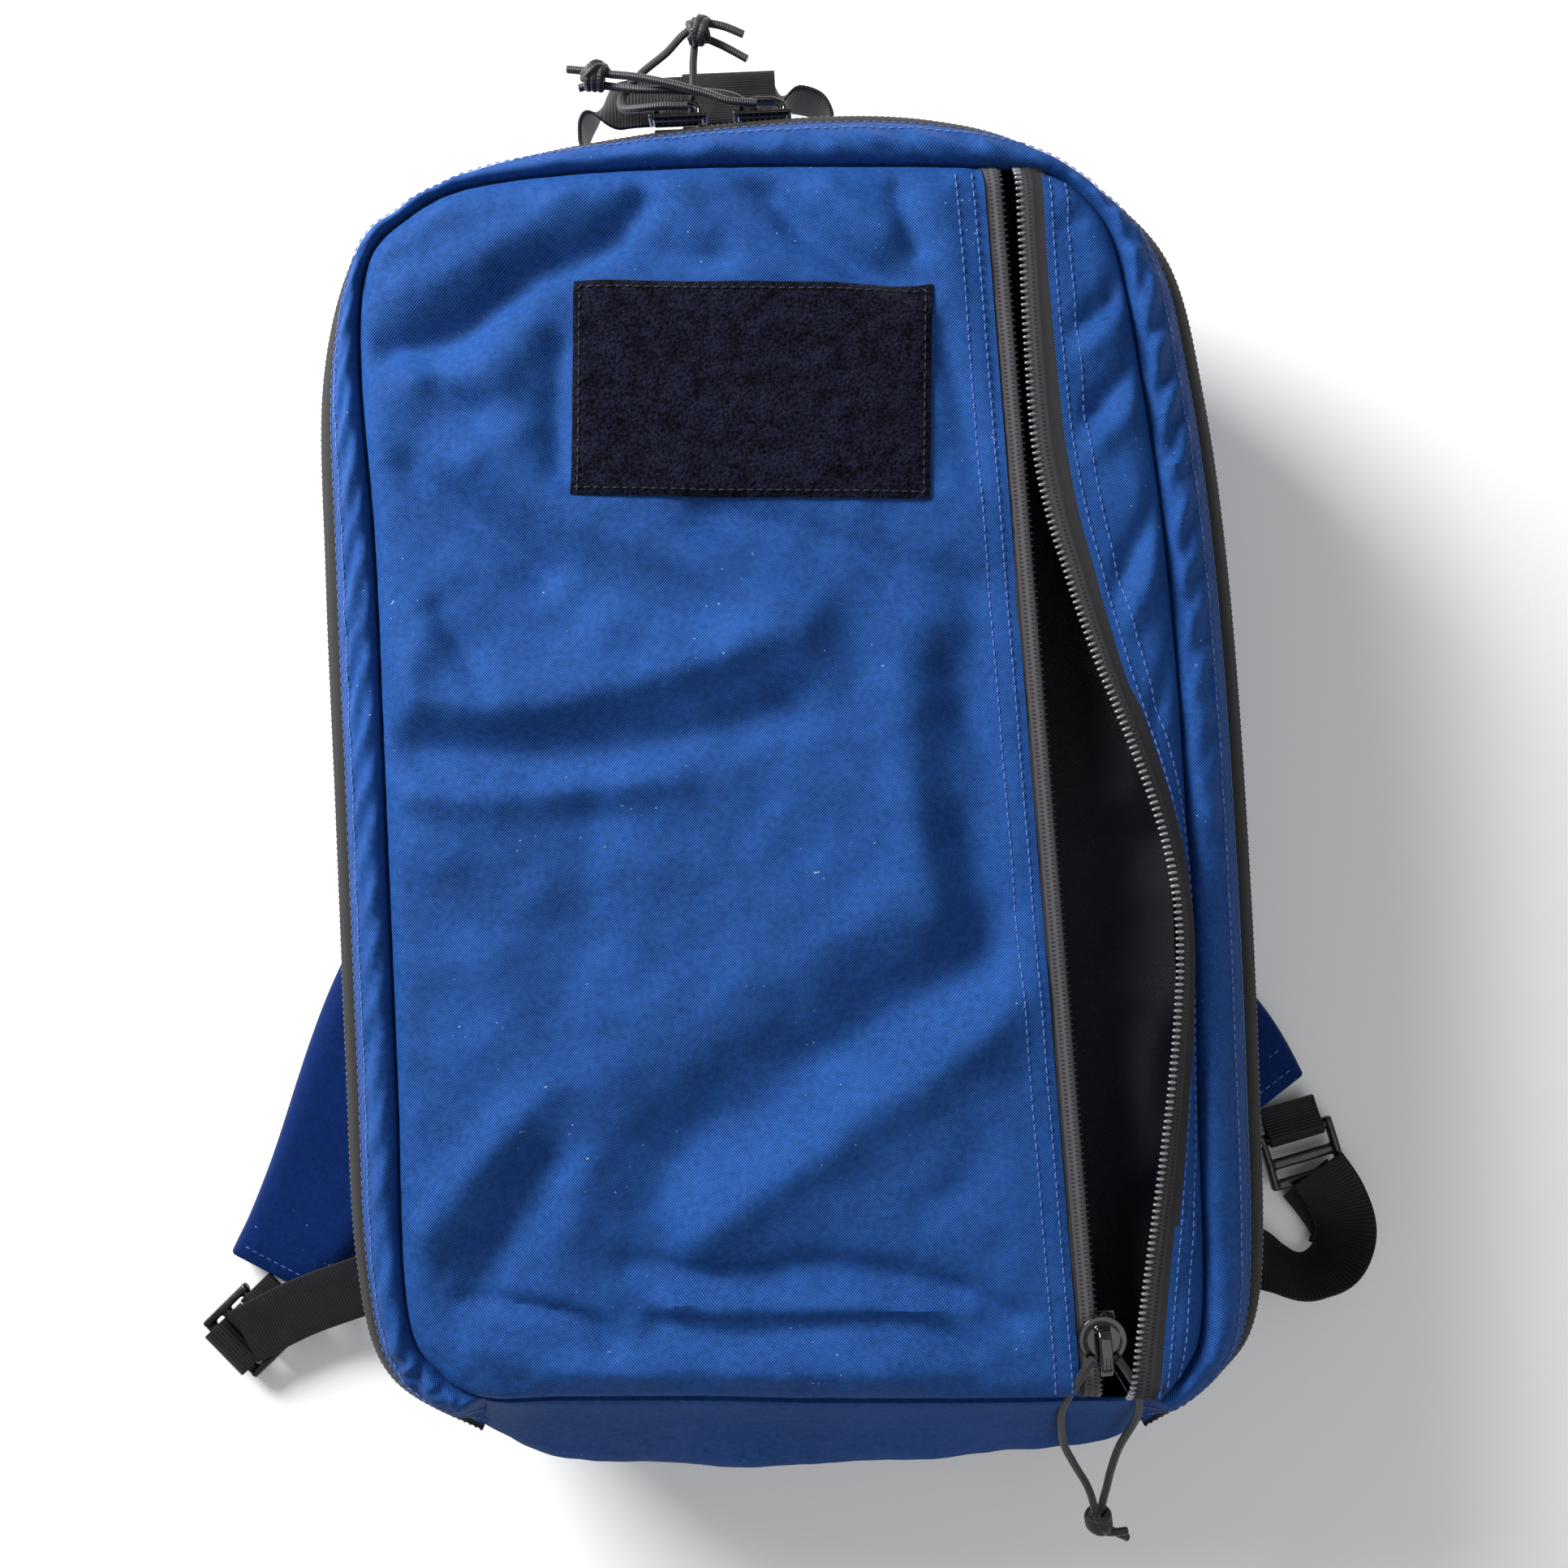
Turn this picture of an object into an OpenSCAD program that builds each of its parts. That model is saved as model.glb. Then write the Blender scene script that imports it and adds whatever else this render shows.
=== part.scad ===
// Trauma backpack, lying on its back with the harness under it.
// +Z points from the back panel to the front, +Y to the carry handle, +X to the wearer's right.
// The origin is on the floor, at the middle of the box that the pack and its harness fill.

/* [Bag] */
// Width of the bag at its main zipper
bag_w = 340; // [320:1:360]
// Height of the bag at its main zipper
bag_h = 508; // [490:1:530]
// Radius of the two top corners
top_radius = 95; // [80:1:110]
// Radius of the two bottom corners
bottom_radius = 70; // [60:1:80]
// Height of the main zipper above the floor
zip_z = 85; // [80:1:100]
// Height of the front panel's seam above the floor
seam_z = 118; // [114:1:124]
// How far the middle of the front panel stands above its seam
crown = 7; // [5:1:9]
// Thickness of the bag's fabric with its lining
fabric = 2; // [1.6:0.1:2.4]

/* [Front pocket] */
// Distance from the bag's middle line to the front zipper
front_zip_x = 93.5; // [90:0.5:96]
// How far the open lip stands away from the closed line at its widest
gap_max = 37; // [30:1:38]
// How far the open lip stands up at its widest
lip_rise = 12; // [8:1:14]
// Width of the zipper tape that shows beside the teeth
tape_w = 9; // [8:0.5:10]

/* [Loop patch] */
// Width of the loop field
patch_w = 127; // [100:1:130]
// Height of the loop field
patch_h = 76; // [60:1:80]

/* [Harness] */
// Thickness of the padded shoulder straps
strap_t = 12; // [10:1:12]
// Width of the webbing
webbing_w = 25; // [20:1:26]
// Thickness of the webbing
webbing_t = 1.6; // [1.2:0.1:1.8]

/* [Cords] */
// Diameter of the shock cord on each zipper pull
cord_d = 3; // [2.5:0.1:3.2]

/* [Hidden] */

// Place of the bag's own middle line in the row frame
bag_x = 9.6;
bag_y = -16;

// Points in a quarter turn of an outline's corner
corner_steps = 8;
// Angle of the corner, past the side, at which the main zipper ends
zip_end = 67.5;
end_steps = 6;
// Angle left between each end of the main zipper and the bottom panel
end_gap = 0.6;

teeth_w = 3;
teeth_h = 2;
teeth_gap = 1.2;
main_tape_h = 4;
band_z = zip_z + teeth_gap + teeth_h + main_tape_h + 0.3;
gusset_z = zip_z - teeth_gap - teeth_h - main_tape_h - 0.3;
back_z = 26;
back_inset = 12;
flap_gap = 0.3;
layer_gap = 0.1;

// Layers that lie flat in the bag, from the back to the front
pad_z = strap_t + 2.4;
pad_t = 11.4;
pad_inset = 40;
yoke_z = strap_t + 0.4;
yoke_t = 1.8;
tab_z = 21.5;
tab_t = 4.2;
sheet_t = 1.6;
sheet_inset = 30;
lining_z = back_z + fabric + sheet_t + 0.2;
lining_t = 1;
lining_inset = 18;
loop_z = lining_z + lining_t + layer_gap;
loop_t = 1.4;
bands_z = loop_z + loop_t + layer_gap;
bands_t = 2;
band_w = 40;
lid_mesh_z = 93;
pocket_z = 98;
pocket_inset = 20;
thin_t = 1.2;
field = [-110, -150];
field_size = [220, 300];
patch_at = [-8, 142.5];
patch_turn = -3;
patch_t = 2;

// Inset of the front panel's seam from the main zipper: left, right, top, bottom
seam_inset = [27, 30, 32, 39];
seam_radius = [38, 28];
crown_run = 9;

// The front zipper leans towards the bag's middle line at its top
zip_lean = -0.041;
front_zip_top = 210;
front_zip_bottom = -206;
slider_y = -198;
front_lip = [
    [210, 4], [165, 2], [120, 1], [75, 8], [38, 17], [2, 26], [-28, 34], [-55, 37],
    [-80, 33], [-107, 26], [-150, 20], [-178, 15], [-206, 8]
];

handle_x = -22;
handle_z = 60;
main_slider_x = [-32, 0];

// Middle lines of the shoulder straps, each with its half width, from the yoke to the tip
strap_line_left = [
    [-55, 198, 33], [-62, 130, 34], [-90, 50, 35], [-130, -25, 35], [-170, -90, 34],
    [-205, -160, 27], [-227, -199, 23]
];
strap_line_right = [
    [55, 198, 33], [50, 120, 34], [66, 40, 35], [105, -30, 34], [150, -85, 30],
    [180, -120, 26], [197, -143, 21]
];

// Hinge bar of each ladder lock, with the direction in which the lock points
lock_left = [-233, -214.5, 222];
lock_right = [209.5, -155, 284];
lock_z = 8;
lock_bar_r = 2;

webbing_line_left = [[-166, -194, 20.5], [-196, -203, 18.5], [-218, -211, 15], [-241, -222, 13.2]];
webbing_line_right = [
    [166, -194, 20.2], [190, -206, 17.6], [207, -214, 17], [221, -209, 17], [227, -196, 15.5],
    [224, -182, 14.2], [217, -170, 13.6]
];
webbing_tilt_right = [0, 5, 45, 60, 40, 15, 0];
tail_line_right = [[214.5, -176, 4], [222, -186, 3.4], [229, -199, 3], [227, -208, 2.4]];

// Routes of the two legs of each zipper pull's cord: crown, leg, knot, tail
front_leg_1 = [
    [97.3, -203.5, 129.5], [94, -210, 126.5], [90.5, -220, 118.5], [88.7, -230, 109.5],
    [91, -246, 96], [96, -258, 87.5], [102, -270, 80.5], [105, -280, 76], [105.8, -288, 74],
    [110.5, -292, 72], [118.5, -293, 69.5]
];
front_leg_2 = [
    [105.9, -203.5, 129.5], [110, -210, 126], [115, -220, 118.5], [116.5, -233, 107.5],
    [112.5, -250, 93], [110.5, -262, 85], [109.5, -271, 79.8], [108.8, -280, 73.5],
    [109, -287, 69.5], [113, -294, 65.5], [120, -299, 62.5]
];
front_knot_at = [107.3, -287, 71.5];
left_leg_1 = [
    [-28, 259, 89.4], [-38, 259.3, 89.6], [-47, 259.7, 87.6], [-53, 262, 82.8],
    [-54, 267, 78.2], [-51.5, 272, 76], [-46, 278, 76.2], [-36, 284.8, 77.6],
    [-29, 290.5, 79.8], [-22, 294, 80.6], [-14, 293, 80.4], [-6, 289.5, 80.2]
];
left_leg_2 = [
    [-27, 259, 80.6], [-26.5, 265, 79], [-26, 274, 77.8], [-25.5, 283, 77.4],
    [-23.5, 290, 77.6], [-16, 287.8, 77.4], [-5, 281.5, 77.2]
];
left_knot_at = [-23, 291.5, 80];
right_leg_1 = [
    [-2, 259, 89.4], [-12.8, 260.5, 89.4], [-21, 264, 88.5], [-34, 268.8, 86.8],
    [-46.8, 273.2, 84], [-57, 276, 81], [-63, 277.6, 80], [-74, 280, 78]
];
right_leg_2 = [
    [-2, 259.6, 80.4], [-6, 263, 80.4], [-13, 265.8, 82.2], [-25.5, 267.3, 83],
    [-36, 268.5, 82.5], [-47, 269.8, 81], [-57, 272.2, 79], [-64, 273.8, 77.8], [-70, 273, 77]
];
right_knot_at = [-63, 276, 79];

knot_r = 5.5;
slider_r = 8.8;
crown_w = 5;

cloth = "royalblue";
black = "dimgray";
trim = "slategray";

// ---- Points ----

function unit(v) = v / norm(v);

// A smooth line through a list of points, with `steps` spans between each two
function smooth(p, steps) = [
    for (i = [0 : len(p) - 2], k = [0 : steps - 1])
        let (
            a = p[max(i - 1, 0)], b = p[i], c = p[i + 1], d = p[min(i + 2, len(p) - 1)],
            t = k / steps
        )
        0.5 * (2 * b + (c - a) * t + (2 * a - 5 * b + 4 * c - d) * t * t
            + (3 * b - a - 3 * c + d) * t * t * t),
    p[len(p) - 1]
];

function heading(p, i) = unit(p[min(i + 1, len(p) - 1)] - p[max(i - 1, 0)]);

function arc_points(x, y, r, from, to, steps) = [
    for (i = [0 : steps]) let (a = from + (to - from) * i / steps) [x + r * cos(a), y + r * sin(a)]
];

// The outline at an inset from the main zipper: left, right, top, bottom, then corner radii
function inset(g) = [g, g, g, g, top_radius - g, bottom_radius - g];
seam_outline = concat(seam_inset, seam_radius);
function low_x(o) = -bag_w / 2 + o[0] + o[5];
function high_x(o) = bag_w / 2 - o[1] - o[5];

// From the zipper's left end over the top to its right end
function rim(o) = concat(
    arc_points(low_x(o), -bag_h / 2 + o[3] + o[5], o[5], 180 + zip_end, 180, end_steps),
    arc_points(-bag_w / 2 + o[0] + o[4], bag_h / 2 - o[2] - o[4], o[4], 180, 90, corner_steps),
    arc_points(bag_w / 2 - o[1] - o[4], bag_h / 2 - o[2] - o[4], o[4], 90, 0, corner_steps),
    arc_points(high_x(o), -bag_h / 2 + o[3] + o[5], o[5], 0, -zip_end, end_steps)
);

// Along the bottom, from the zipper's right end to its left end
function base(o) = concat(
    arc_points(high_x(o), -bag_h / 2 + o[3] + o[5], o[5], -zip_end - end_gap, -90, 2),
    arc_points(low_x(o), -bag_h / 2 + o[3] + o[5], o[5], 270, 180 + zip_end + end_gap, 2)
);

function whole(o) = let (a = rim(o), b = base(o)) concat(a, [for (i = [1 : len(b) - 2]) b[i]]);
function at_height(points, z) = [for (p = points) [p[0], p[1], z]];

// The closed front zipper, and how far and how high its open lip stands from it
function zip_x(y) = front_zip_x + zip_lean * y;
function gap_at(y, i = 0) =
    i >= len(front_lip) - 2 || y >= front_lip[i + 1][0]
        ? let (a = front_lip[i], b = front_lip[i + 1], t = (a[0] - y) / (a[0] - b[0]))
            a[1] + (b[1] - a[1]) * t
        : gap_at(y, i + 1);
function rise_at(y) =
    let (s = min(1, gap_at(y) / gap_max)) lip_rise * (0.5 - sin(asin(1 - 2 * s) / 3));
function face_z(y) =
    let (d = min(bag_h / 2 - seam_inset[2] - y, y + bag_h / 2 - seam_inset[3]))
        seam_z + crown * max(0, min(1, d / crown_run));

// ---- Solids from cross-sections ----

// A closed solid through cross-sections that have the same number of points
module skin(sections) {
    n = len(sections);
    m = len(sections[0]);
    polyhedron(
        points = [for (s = sections) each s],
        faces = concat(
            [[for (j = [m - 1 : -1 : 0]) j]],
            [
                for (i = [0 : n - 2], j = [0 : m - 1])
                    let (a = i * m + j, b = i * m + (j + 1) % m) each [[a, b, b + m], [a, b + m, a + m]]
            ],
            [[for (j = [0 : m - 1]) (n - 1) * m + j]]
        )
    );
}

// A wall between an outer and an inner pair of lines
module wall(outer_low, outer_high, inner_high, inner_low)
    skin([
        for (i = [0 : len(outer_low) - 1]) [outer_low[i], outer_high[i], inner_high[i], inner_low[i]]
    ]);

// A wall that leans from one outline to another, on the zipper's side or along the bottom
module leaning(on_base, o1, z1, o2, z2, t) {
    function line(o, z) = at_height(on_base ? base(o) : rim(o), z);
    function thinner(o) = [o[0] + t, o[1] + t, o[2] + t, o[3] + t, o[4] - t, o[5] - t];
    wall(line(o1, z1), line(o2, z2), line(thinner(o2), z2), line(thinner(o1), z1));
}

// A flat strip along a line. Tilt turns it about its own direction
module ribbon(line, w, t, tilt = [0]) {
    skin([
        for (i = [0 : len(line) - 1])
            let (
                d = heading(line, i),
                side = unit(cross(d, [0, 0, 1])),
                up = cross(side, d),
                a = tilt[min(i, len(tilt) - 1)],
                u = (side * cos(a) + up * sin(a)) * w / 2,
                v = (up * cos(a) - side * sin(a)) * t / 2,
                p = line[i]
            )
            [p - u - v, p - u + v, p + u + v, p + u - v]
    ]);
}

// A round cord of eight sides along a line
module tube(line, d) {
    r = d / 2;
    skin([
        for (i = [0 : len(line) - 1])
            let (h = heading(line, i), side = unit(cross(h, [0.1, 0.2, 1])), up = cross(side, h))
            [for (k = [0 : 7]) line[i] + r * (side * cos(-45 * k) + up * sin(-45 * k))]
    ]);
}

module on_bag() translate([bag_x, bag_y, 0]) children();

module plate(o, z, t)
    translate([0, 0, z]) linear_extrude(t) polygon(whole(o));

// ---- Pack: back, sides and inside ----

module back_pad() color("darkslategray") on_bag() plate(inset(pad_inset), pad_z, pad_t);

module back_panel() color(cloth) on_bag() plate(inset(back_inset), back_z, fabric);

module frame_sheet() color("whitesmoke") on_bag() plate(inset(sheet_inset), back_z + fabric, sheet_t);

module rear_lining() color(black) on_bag() plate(inset(lining_inset), lining_z, lining_t);

module loop_field_inside()
    color(black) on_bag() translate([each field, loop_z]) cube([each field_size, loop_t]);

module elastic_bands()
    color("black") on_bag()
        for (y = [-60, 60])
            translate([-105, y - band_w / 2, bands_z]) cube([210, band_w, bands_t]);

module rear_gusset()
    color(cloth) on_bag()
        leaning(false, inset(back_inset), back_z + fabric, inset(0.3), gusset_z, fabric);

module bottom_panel()
    color(cloth) on_bag()
        leaning(true, inset(back_inset), back_z + fabric, inset(0), zip_z - flap_gap / 2, fabric);

module strap_yoke()
    color(cloth) on_bag() translate([-95, 150, yoke_z]) cube([190, 52, yoke_t]);

module main_zip_tape_rear()
    color(trim) on_bag()
        leaning(false, inset(0.3), gusset_z + 0.1, inset(0.3), gusset_z + main_tape_h, 1.2);

module main_zip_teeth_rear()
    color("black") on_bag()
        leaning(false, inset(-1), zip_z - teeth_gap - teeth_h, inset(-1), zip_z - teeth_gap, 2.5);

module anchor_tab(side)
    on_bag() mirrored(side) translate([0, 0, tab_z]) linear_extrude(tab_t)
        polygon([[134, -160], [180, -184], [172, -212], [134, -218]]);

// side is 1 as drawn and -1 for the mirror image across X
module mirrored(side) {
    if (side > 0) children();
    else mirror([1, 0, 0]) children();
}

module anchor_tab_left() color(cloth) anchor_tab(-1);
module anchor_tab_right() color(cloth) anchor_tab(1);

module lower_webbing_left()
    color(black) on_bag() ribbon(smooth(webbing_line_left, 2), webbing_w, webbing_t);

module lower_webbing_right()
    color(black) on_bag() ribbon(webbing_line_right, webbing_w, webbing_t, webbing_tilt_right);

// ---- Carry handle ----

handle_line = [
    for (p = [[-49, 255], [-49, 263], [-44, 273], [-34, 279.5], [-20, 282], [0, 282.6], [20, 282],
            [34, 279.5], [44, 273], [49, 263], [49, 255]])
        [handle_x + p[0], p[1], handle_z]
];

module handle_webbing()
    color(black) on_bag() ribbon(handle_line, webbing_w, webbing_t, [90]);

module handle_sleeve()
    color(black) on_bag() difference() {
        translate([handle_x - 16, 279.4, handle_z - 14]) cube([38, 6.6, 28]);
        translate([handle_x - 17, 281, handle_z - 12.8]) cube([40, 3.2, 25.6]);
    }

// ---- Lid ----

module front_gusset()
    color(cloth) on_bag() leaning(false, inset(4), band_z, seam_outline, seam_z, fabric);

module bottom_panel_flap()
    color(cloth) on_bag()
        leaning(true, inset(0), zip_z + flap_gap / 2, seam_outline, seam_z, fabric);

module main_zip_tape_front()
    color(trim) on_bag()
        leaning(false, inset(0.3), band_z - 0.3 - main_tape_h, inset(2.2), band_z - 0.2, 1.2);

module main_zip_teeth_front()
    color("black") on_bag()
        leaning(false, inset(-1), zip_z + teeth_gap, inset(-1), zip_z + teeth_gap + teeth_h, 2.5);

module pocket_lining() color("black") on_bag() plate(inset(pocket_inset), pocket_z, thin_t);

module lid_mesh_pocket()
    color(black) on_bag() translate([each field, lid_mesh_z]) cube([each field_size, thin_t]);

function grown(o, g) = [o[0] + g, o[1] + g, o[2] + g, o[3] + g, max(o[4] - g, 8), max(o[5] - g, 8)];

// The crowned front, cut by the open slot of its zipper
module crowned_front() {
    edge = grown(seam_outline, fabric + 0.3);
    top = grown(seam_outline, crown_run);
    skin([
        at_height(whole(top), seam_z + crown - fabric),
        at_height(whole(edge), seam_z - fabric),
        at_height(whole(edge), seam_z),
        at_height(whole(top), seam_z + crown)
    ]);
}

module front_panel()
    color(cloth) on_bag() intersection() {
        crowned_front();
        translate([0, 0, seam_z - 20]) linear_extrude(60)
            polygon([
                [-bag_w, -bag_h], [zip_x(-bag_h) - tape_w, -bag_h],
                [zip_x(bag_h) - tape_w, bag_h], [-bag_w, bag_h]
            ]);
    }

module loop_patch()
    color("black") on_bag()
        translate([each patch_at, seam_z + crown + layer_gap]) rotate(patch_turn)
            translate([-patch_w / 2, -patch_h / 2, 0]) cube([patch_w, patch_h, patch_t]);

// ---- Front zipper ----

left_line = [
    for (y = [front_zip_bottom, front_zip_bottom + 8, front_zip_top - 8, front_zip_top])
        [zip_x(y), y, face_z(y)]
];

module front_zip_tape_left()
    color(trim) on_bag()
        ribbon([for (p = left_line) p - [teeth_w + 0.2 + tape_w / 2 + 1.4, 0, 2.6]], tape_w + 2.8, 1);

module front_zip_teeth_left()
    color("black") on_bag()
        ribbon([for (p = left_line) p - [teeth_w / 2 + 0.2, 0, 1.5]], teeth_w, 2.4);

lip_y = [for (p = front_lip) min(max(p[0], front_zip_bottom), front_zip_top)];
function lip_point(y, out, drop) =
    [zip_x(y) + gap_at(y) + 0.4 + out, y, face_z(y) + rise_at(y) - drop];
function steep(y) = gap_at(y) / gap_max;
function tape_edge(y) = lip_point(y, teeth_w + tape_w * (1 - 0.62 * steep(y)), 1.8 + 5 * steep(y));

module front_zip_teeth_right()
    color("black") on_bag()
        skin([
            for (y = lip_y)
                let (a = lip_point(y, 0, 2.7), b = lip_point(y, teeth_w, 2.7))
                [b, a, a + [0, 0, 2.4], b + [0, 0, 2.4]]
        ]);

module front_zip_tape_right()
    color(trim) on_bag()
        skin([
            for (y = lip_y)
                let (a = lip_point(y, teeth_w + 0.1, 2), b = tape_edge(y))
                [b - [0, 0, 1], a - [0, 0, 1], a, b]
        ]);

module side_panel() {
    function seam_x(y) =
        let (
            r = seam_radius[y > 0 ? 0 : 1],
            inner = r - fabric - 1.6,
            straight = bag_h / 2 - seam_inset[y > 0 ? 2 : 3] - r,
            d = max(0, abs(y) - straight)
        )
        bag_w / 2 - seam_inset[1] - r + sqrt(max(0, inner * inner - d * d));
    color(cloth) on_bag()
        skin([
            for (y = lip_y)
                let (
                    a = tape_edge(y) + [0.3, 0, 0],
                    over = a[0] + 1.2 > seam_x(y),
                    s = [max(seam_x(y), a[0] + 1.2), y, seam_z + (over ? fabric + 0.5 : 0)],
                    m = [(a[0] + s[0]) / 2, y, max((a[2] + s[2]) / 2, face_z(y) - 1)],
                    down = [0, 0, fabric]
                )
                [s - down, m - down, a - down, a, m, s]
        ]);
}

// ---- Zipper sliders ----

// The front slider at the origin: the teeth pass along its Y, and the crown stands on +Z
module front_slider_body() {
    low_plate = -5.3;
    high_plate = 0.6;
    plate_t = 1.5;
    crown_foot = high_plate + plate_t - 0.2;
    translate([0, 0, high_plate]) cylinder(r = slider_r, h = plate_t, $fn = 64);
    translate([-6, -slider_r, low_plate]) cube([12, slider_r * 2, plate_t]);
    translate([1.6, 6, low_plate + 1]) cylinder(r = 1, h = high_plate - low_plate, $fn = 32);
    difference() {
        translate([-crown_w / 2, -slider_r - 3, crown_foot]) cube([crown_w, 17, 6]);
        translate([-crown_w, -8.6, crown_foot + 0.5]) cube([crown_w * 2, 11.6, 3.8]);
    }
}

// A main slider at the origin: the teeth pass along its X, and the crown stands on +Z
module main_slider_body() {
    high_plate = 1.4;
    plate_t = 1.6;
    half = 4.4;
    crown_foot = high_plate + plate_t - 0.2;
    translate([-11, -half, high_plate]) cube([22, half * 2, plate_t]);
    translate([-9, -half, -4.4]) cube([18, half * 2, 1.3]);
    translate([7, -0.9, -3.6]) cube([1.8, 1.8, 5.4]);
    difference() {
        translate([-9, -crown_w / 2, crown_foot]) cube([18, crown_w, 5.4]);
        translate([-6.8, -crown_w, crown_foot + 0.5]) cube([13.6, crown_w * 2, 3.4]);
    }
}

module front_slider()
    color("black") on_bag()
        translate([zip_x(slider_y), slider_y, seam_z + crown]) rotate(atan(-zip_lean))
            front_slider_body();

// The two main sliders are mirror images that part from the middle of the bag's top
module main_slider(x, side)
    color("black") on_bag()
        translate([x, bag_h / 2, zip_z]) rotate([-90, 0, 0]) mirrored(side) main_slider_body();

module main_slider_left() main_slider(main_slider_x[0], 1);
module main_slider_right() main_slider(main_slider_x[1], -1);

module legs(a, b) {
    tube(a, cord_d);
    tube(b, cord_d);
}

module knot(at) translate(at) sphere(r = knot_r, $fn = 32);

module front_cord() color(black) on_bag() legs(front_leg_1, front_leg_2);
module main_cord_left() color(black) on_bag() legs(left_leg_1, left_leg_2);
module main_cord_right() color(black) on_bag() legs(right_leg_1, right_leg_2);
module front_knot() color(black) on_bag() knot(front_knot_at);
module main_knot_left() color(black) on_bag() knot(left_knot_at);
module main_knot_right() color(black) on_bag() knot(right_knot_at);

// ---- Harness ----

function strap_side(line, i, k, in) =
    let (d = heading([for (p = line) [p[0], p[1]]], i), w = line[i][2] - in)
        [line[i][0] - k * d[1] * w, line[i][1] + k * d[0] * w];

module strap_shape(line, in) {
    p = smooth(line, 3);
    polygon(concat(
        [for (i = [0 : len(p) - 1]) strap_side(p, i, 1, in)],
        [for (i = [len(p) - 1 : -1 : 0]) strap_side(p, i, -1, in)]
    ));
}

// The cover is open at the yoke, where the foam goes in
module strap_cover(line)
    color(cloth) on_bag() difference() {
        linear_extrude(strap_t) strap_shape(line, 0);
        translate([0, 0, 1.4]) linear_extrude(strap_t - 2.8) strap_core(line);
    }

module strap_core(line) {
    end = line[len(line) - 1];
    short = concat([line[0] + [0, 2, 0]], [for (i = [1 : len(line) - 2]) line[i]],
        [end + (line[len(line) - 2] - end) * 0.25]);
    strap_shape(short, 3);
}

module strap_foam(line)
    color("gainsboro") on_bag()
        translate([0, 0, 1.6]) linear_extrude(strap_t - 3.2) difference() {
            strap_core(line);
            translate([-bag_w / 2, line[0][1]]) square([bag_w, 20]);
        }

module at_lock(lock) on_bag() translate([lock[0], lock[1], lock_z]) rotate(lock[2]) children();

// The webbing eye that holds a ladder lock's bar on the strap's tip
module strap_loop(lock)
    color(black) at_lock(lock) difference() {
        union() {
            rotate([90, 0, 0]) cylinder(r = 3.8, h = webbing_w - 1, center = true, $fn = 48);
            translate([-13, -webbing_w / 2 + 0.5, -1.5]) cube([11, webbing_w - 1, 3]);
        }
        rotate([90, 0, 0]) cylinder(r = lock_bar_r + 0.1, h = webbing_w + 2, center = true, $fn = 48);
    }

module ladder_lock(lock)
    color("black") at_lock(lock) {
        rotate([90, 0, 0]) cylinder(r = lock_bar_r, h = webbing_w + 4, center = true, $fn = 48);
        for (s = [-1, 1])
            translate([-3, s * (webbing_w / 2 + 2.2) - 2, -2.5]) cube([25, 4, 5]);
        for (u = [9, 18])
            translate([u, -webbing_w / 2 - 1, -2]) cube([4, webbing_w + 2, 4]);
    }

module strap_cover_left() strap_cover(strap_line_left);
module strap_cover_right() strap_cover(strap_line_right);
module strap_foam_left() strap_foam(strap_line_left);
module strap_foam_right() strap_foam(strap_line_right);
module strap_loop_left() strap_loop(lock_left);
module strap_loop_right() strap_loop(lock_right);
module ladder_lock_left() ladder_lock(lock_left);
module ladder_lock_right() ladder_lock(lock_right);

// The free end comes over the lock's last bar and folds back under it
module webbing_tail_left()
    color(black) at_lock(lock_left)
        ribbon([[15.5, 0, 0], [16, 0, 3.2], [20, 0, 4], [24, 0, 2.2], [24.6, 0, -2.5], [20, 0, -5.4],
            [8, 0, -6.6]], webbing_w - 2, webbing_t);

module webbing_tail_right()
    color(black) on_bag()
        ribbon(tail_line_right, webbing_w, webbing_t);

back_pad();
frame_sheet();
back_panel();
rear_lining();
rear_gusset();
bottom_panel();
strap_yoke();
loop_field_inside();
elastic_bands();
main_zip_tape_rear();
main_zip_teeth_rear();
anchor_tab_left();
anchor_tab_right();
lower_webbing_left();
lower_webbing_right();
handle_webbing();
handle_sleeve();
front_gusset();
bottom_panel_flap();
front_panel();
loop_patch();
pocket_lining();
lid_mesh_pocket();
main_zip_tape_front();
main_zip_teeth_front();
front_zip_tape_left();
front_zip_teeth_left();
side_panel();
front_zip_tape_right();
front_zip_teeth_right();
front_slider();
front_cord();
front_knot();
main_slider_left();
main_cord_left();
main_knot_left();
main_slider_right();
main_cord_right();
main_knot_right();
strap_cover_left();
strap_foam_left();
strap_loop_left();
strap_cover_right();
strap_foam_right();
strap_loop_right();
ladder_lock_left();
webbing_tail_left();
ladder_lock_right();
webbing_tail_right();
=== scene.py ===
"""The looks of a trauma backpack that lies on its back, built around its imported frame.

Shapes are worked out in millimetres from the bag's own middle line, which the frame gives:
+X is the right of the bag's front, +Y is its top, and +Z is up from the floor.
"""

import math

import bmesh
import bpy
import numpy as np
from mathutils import Matrix, Vector, noise


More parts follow.
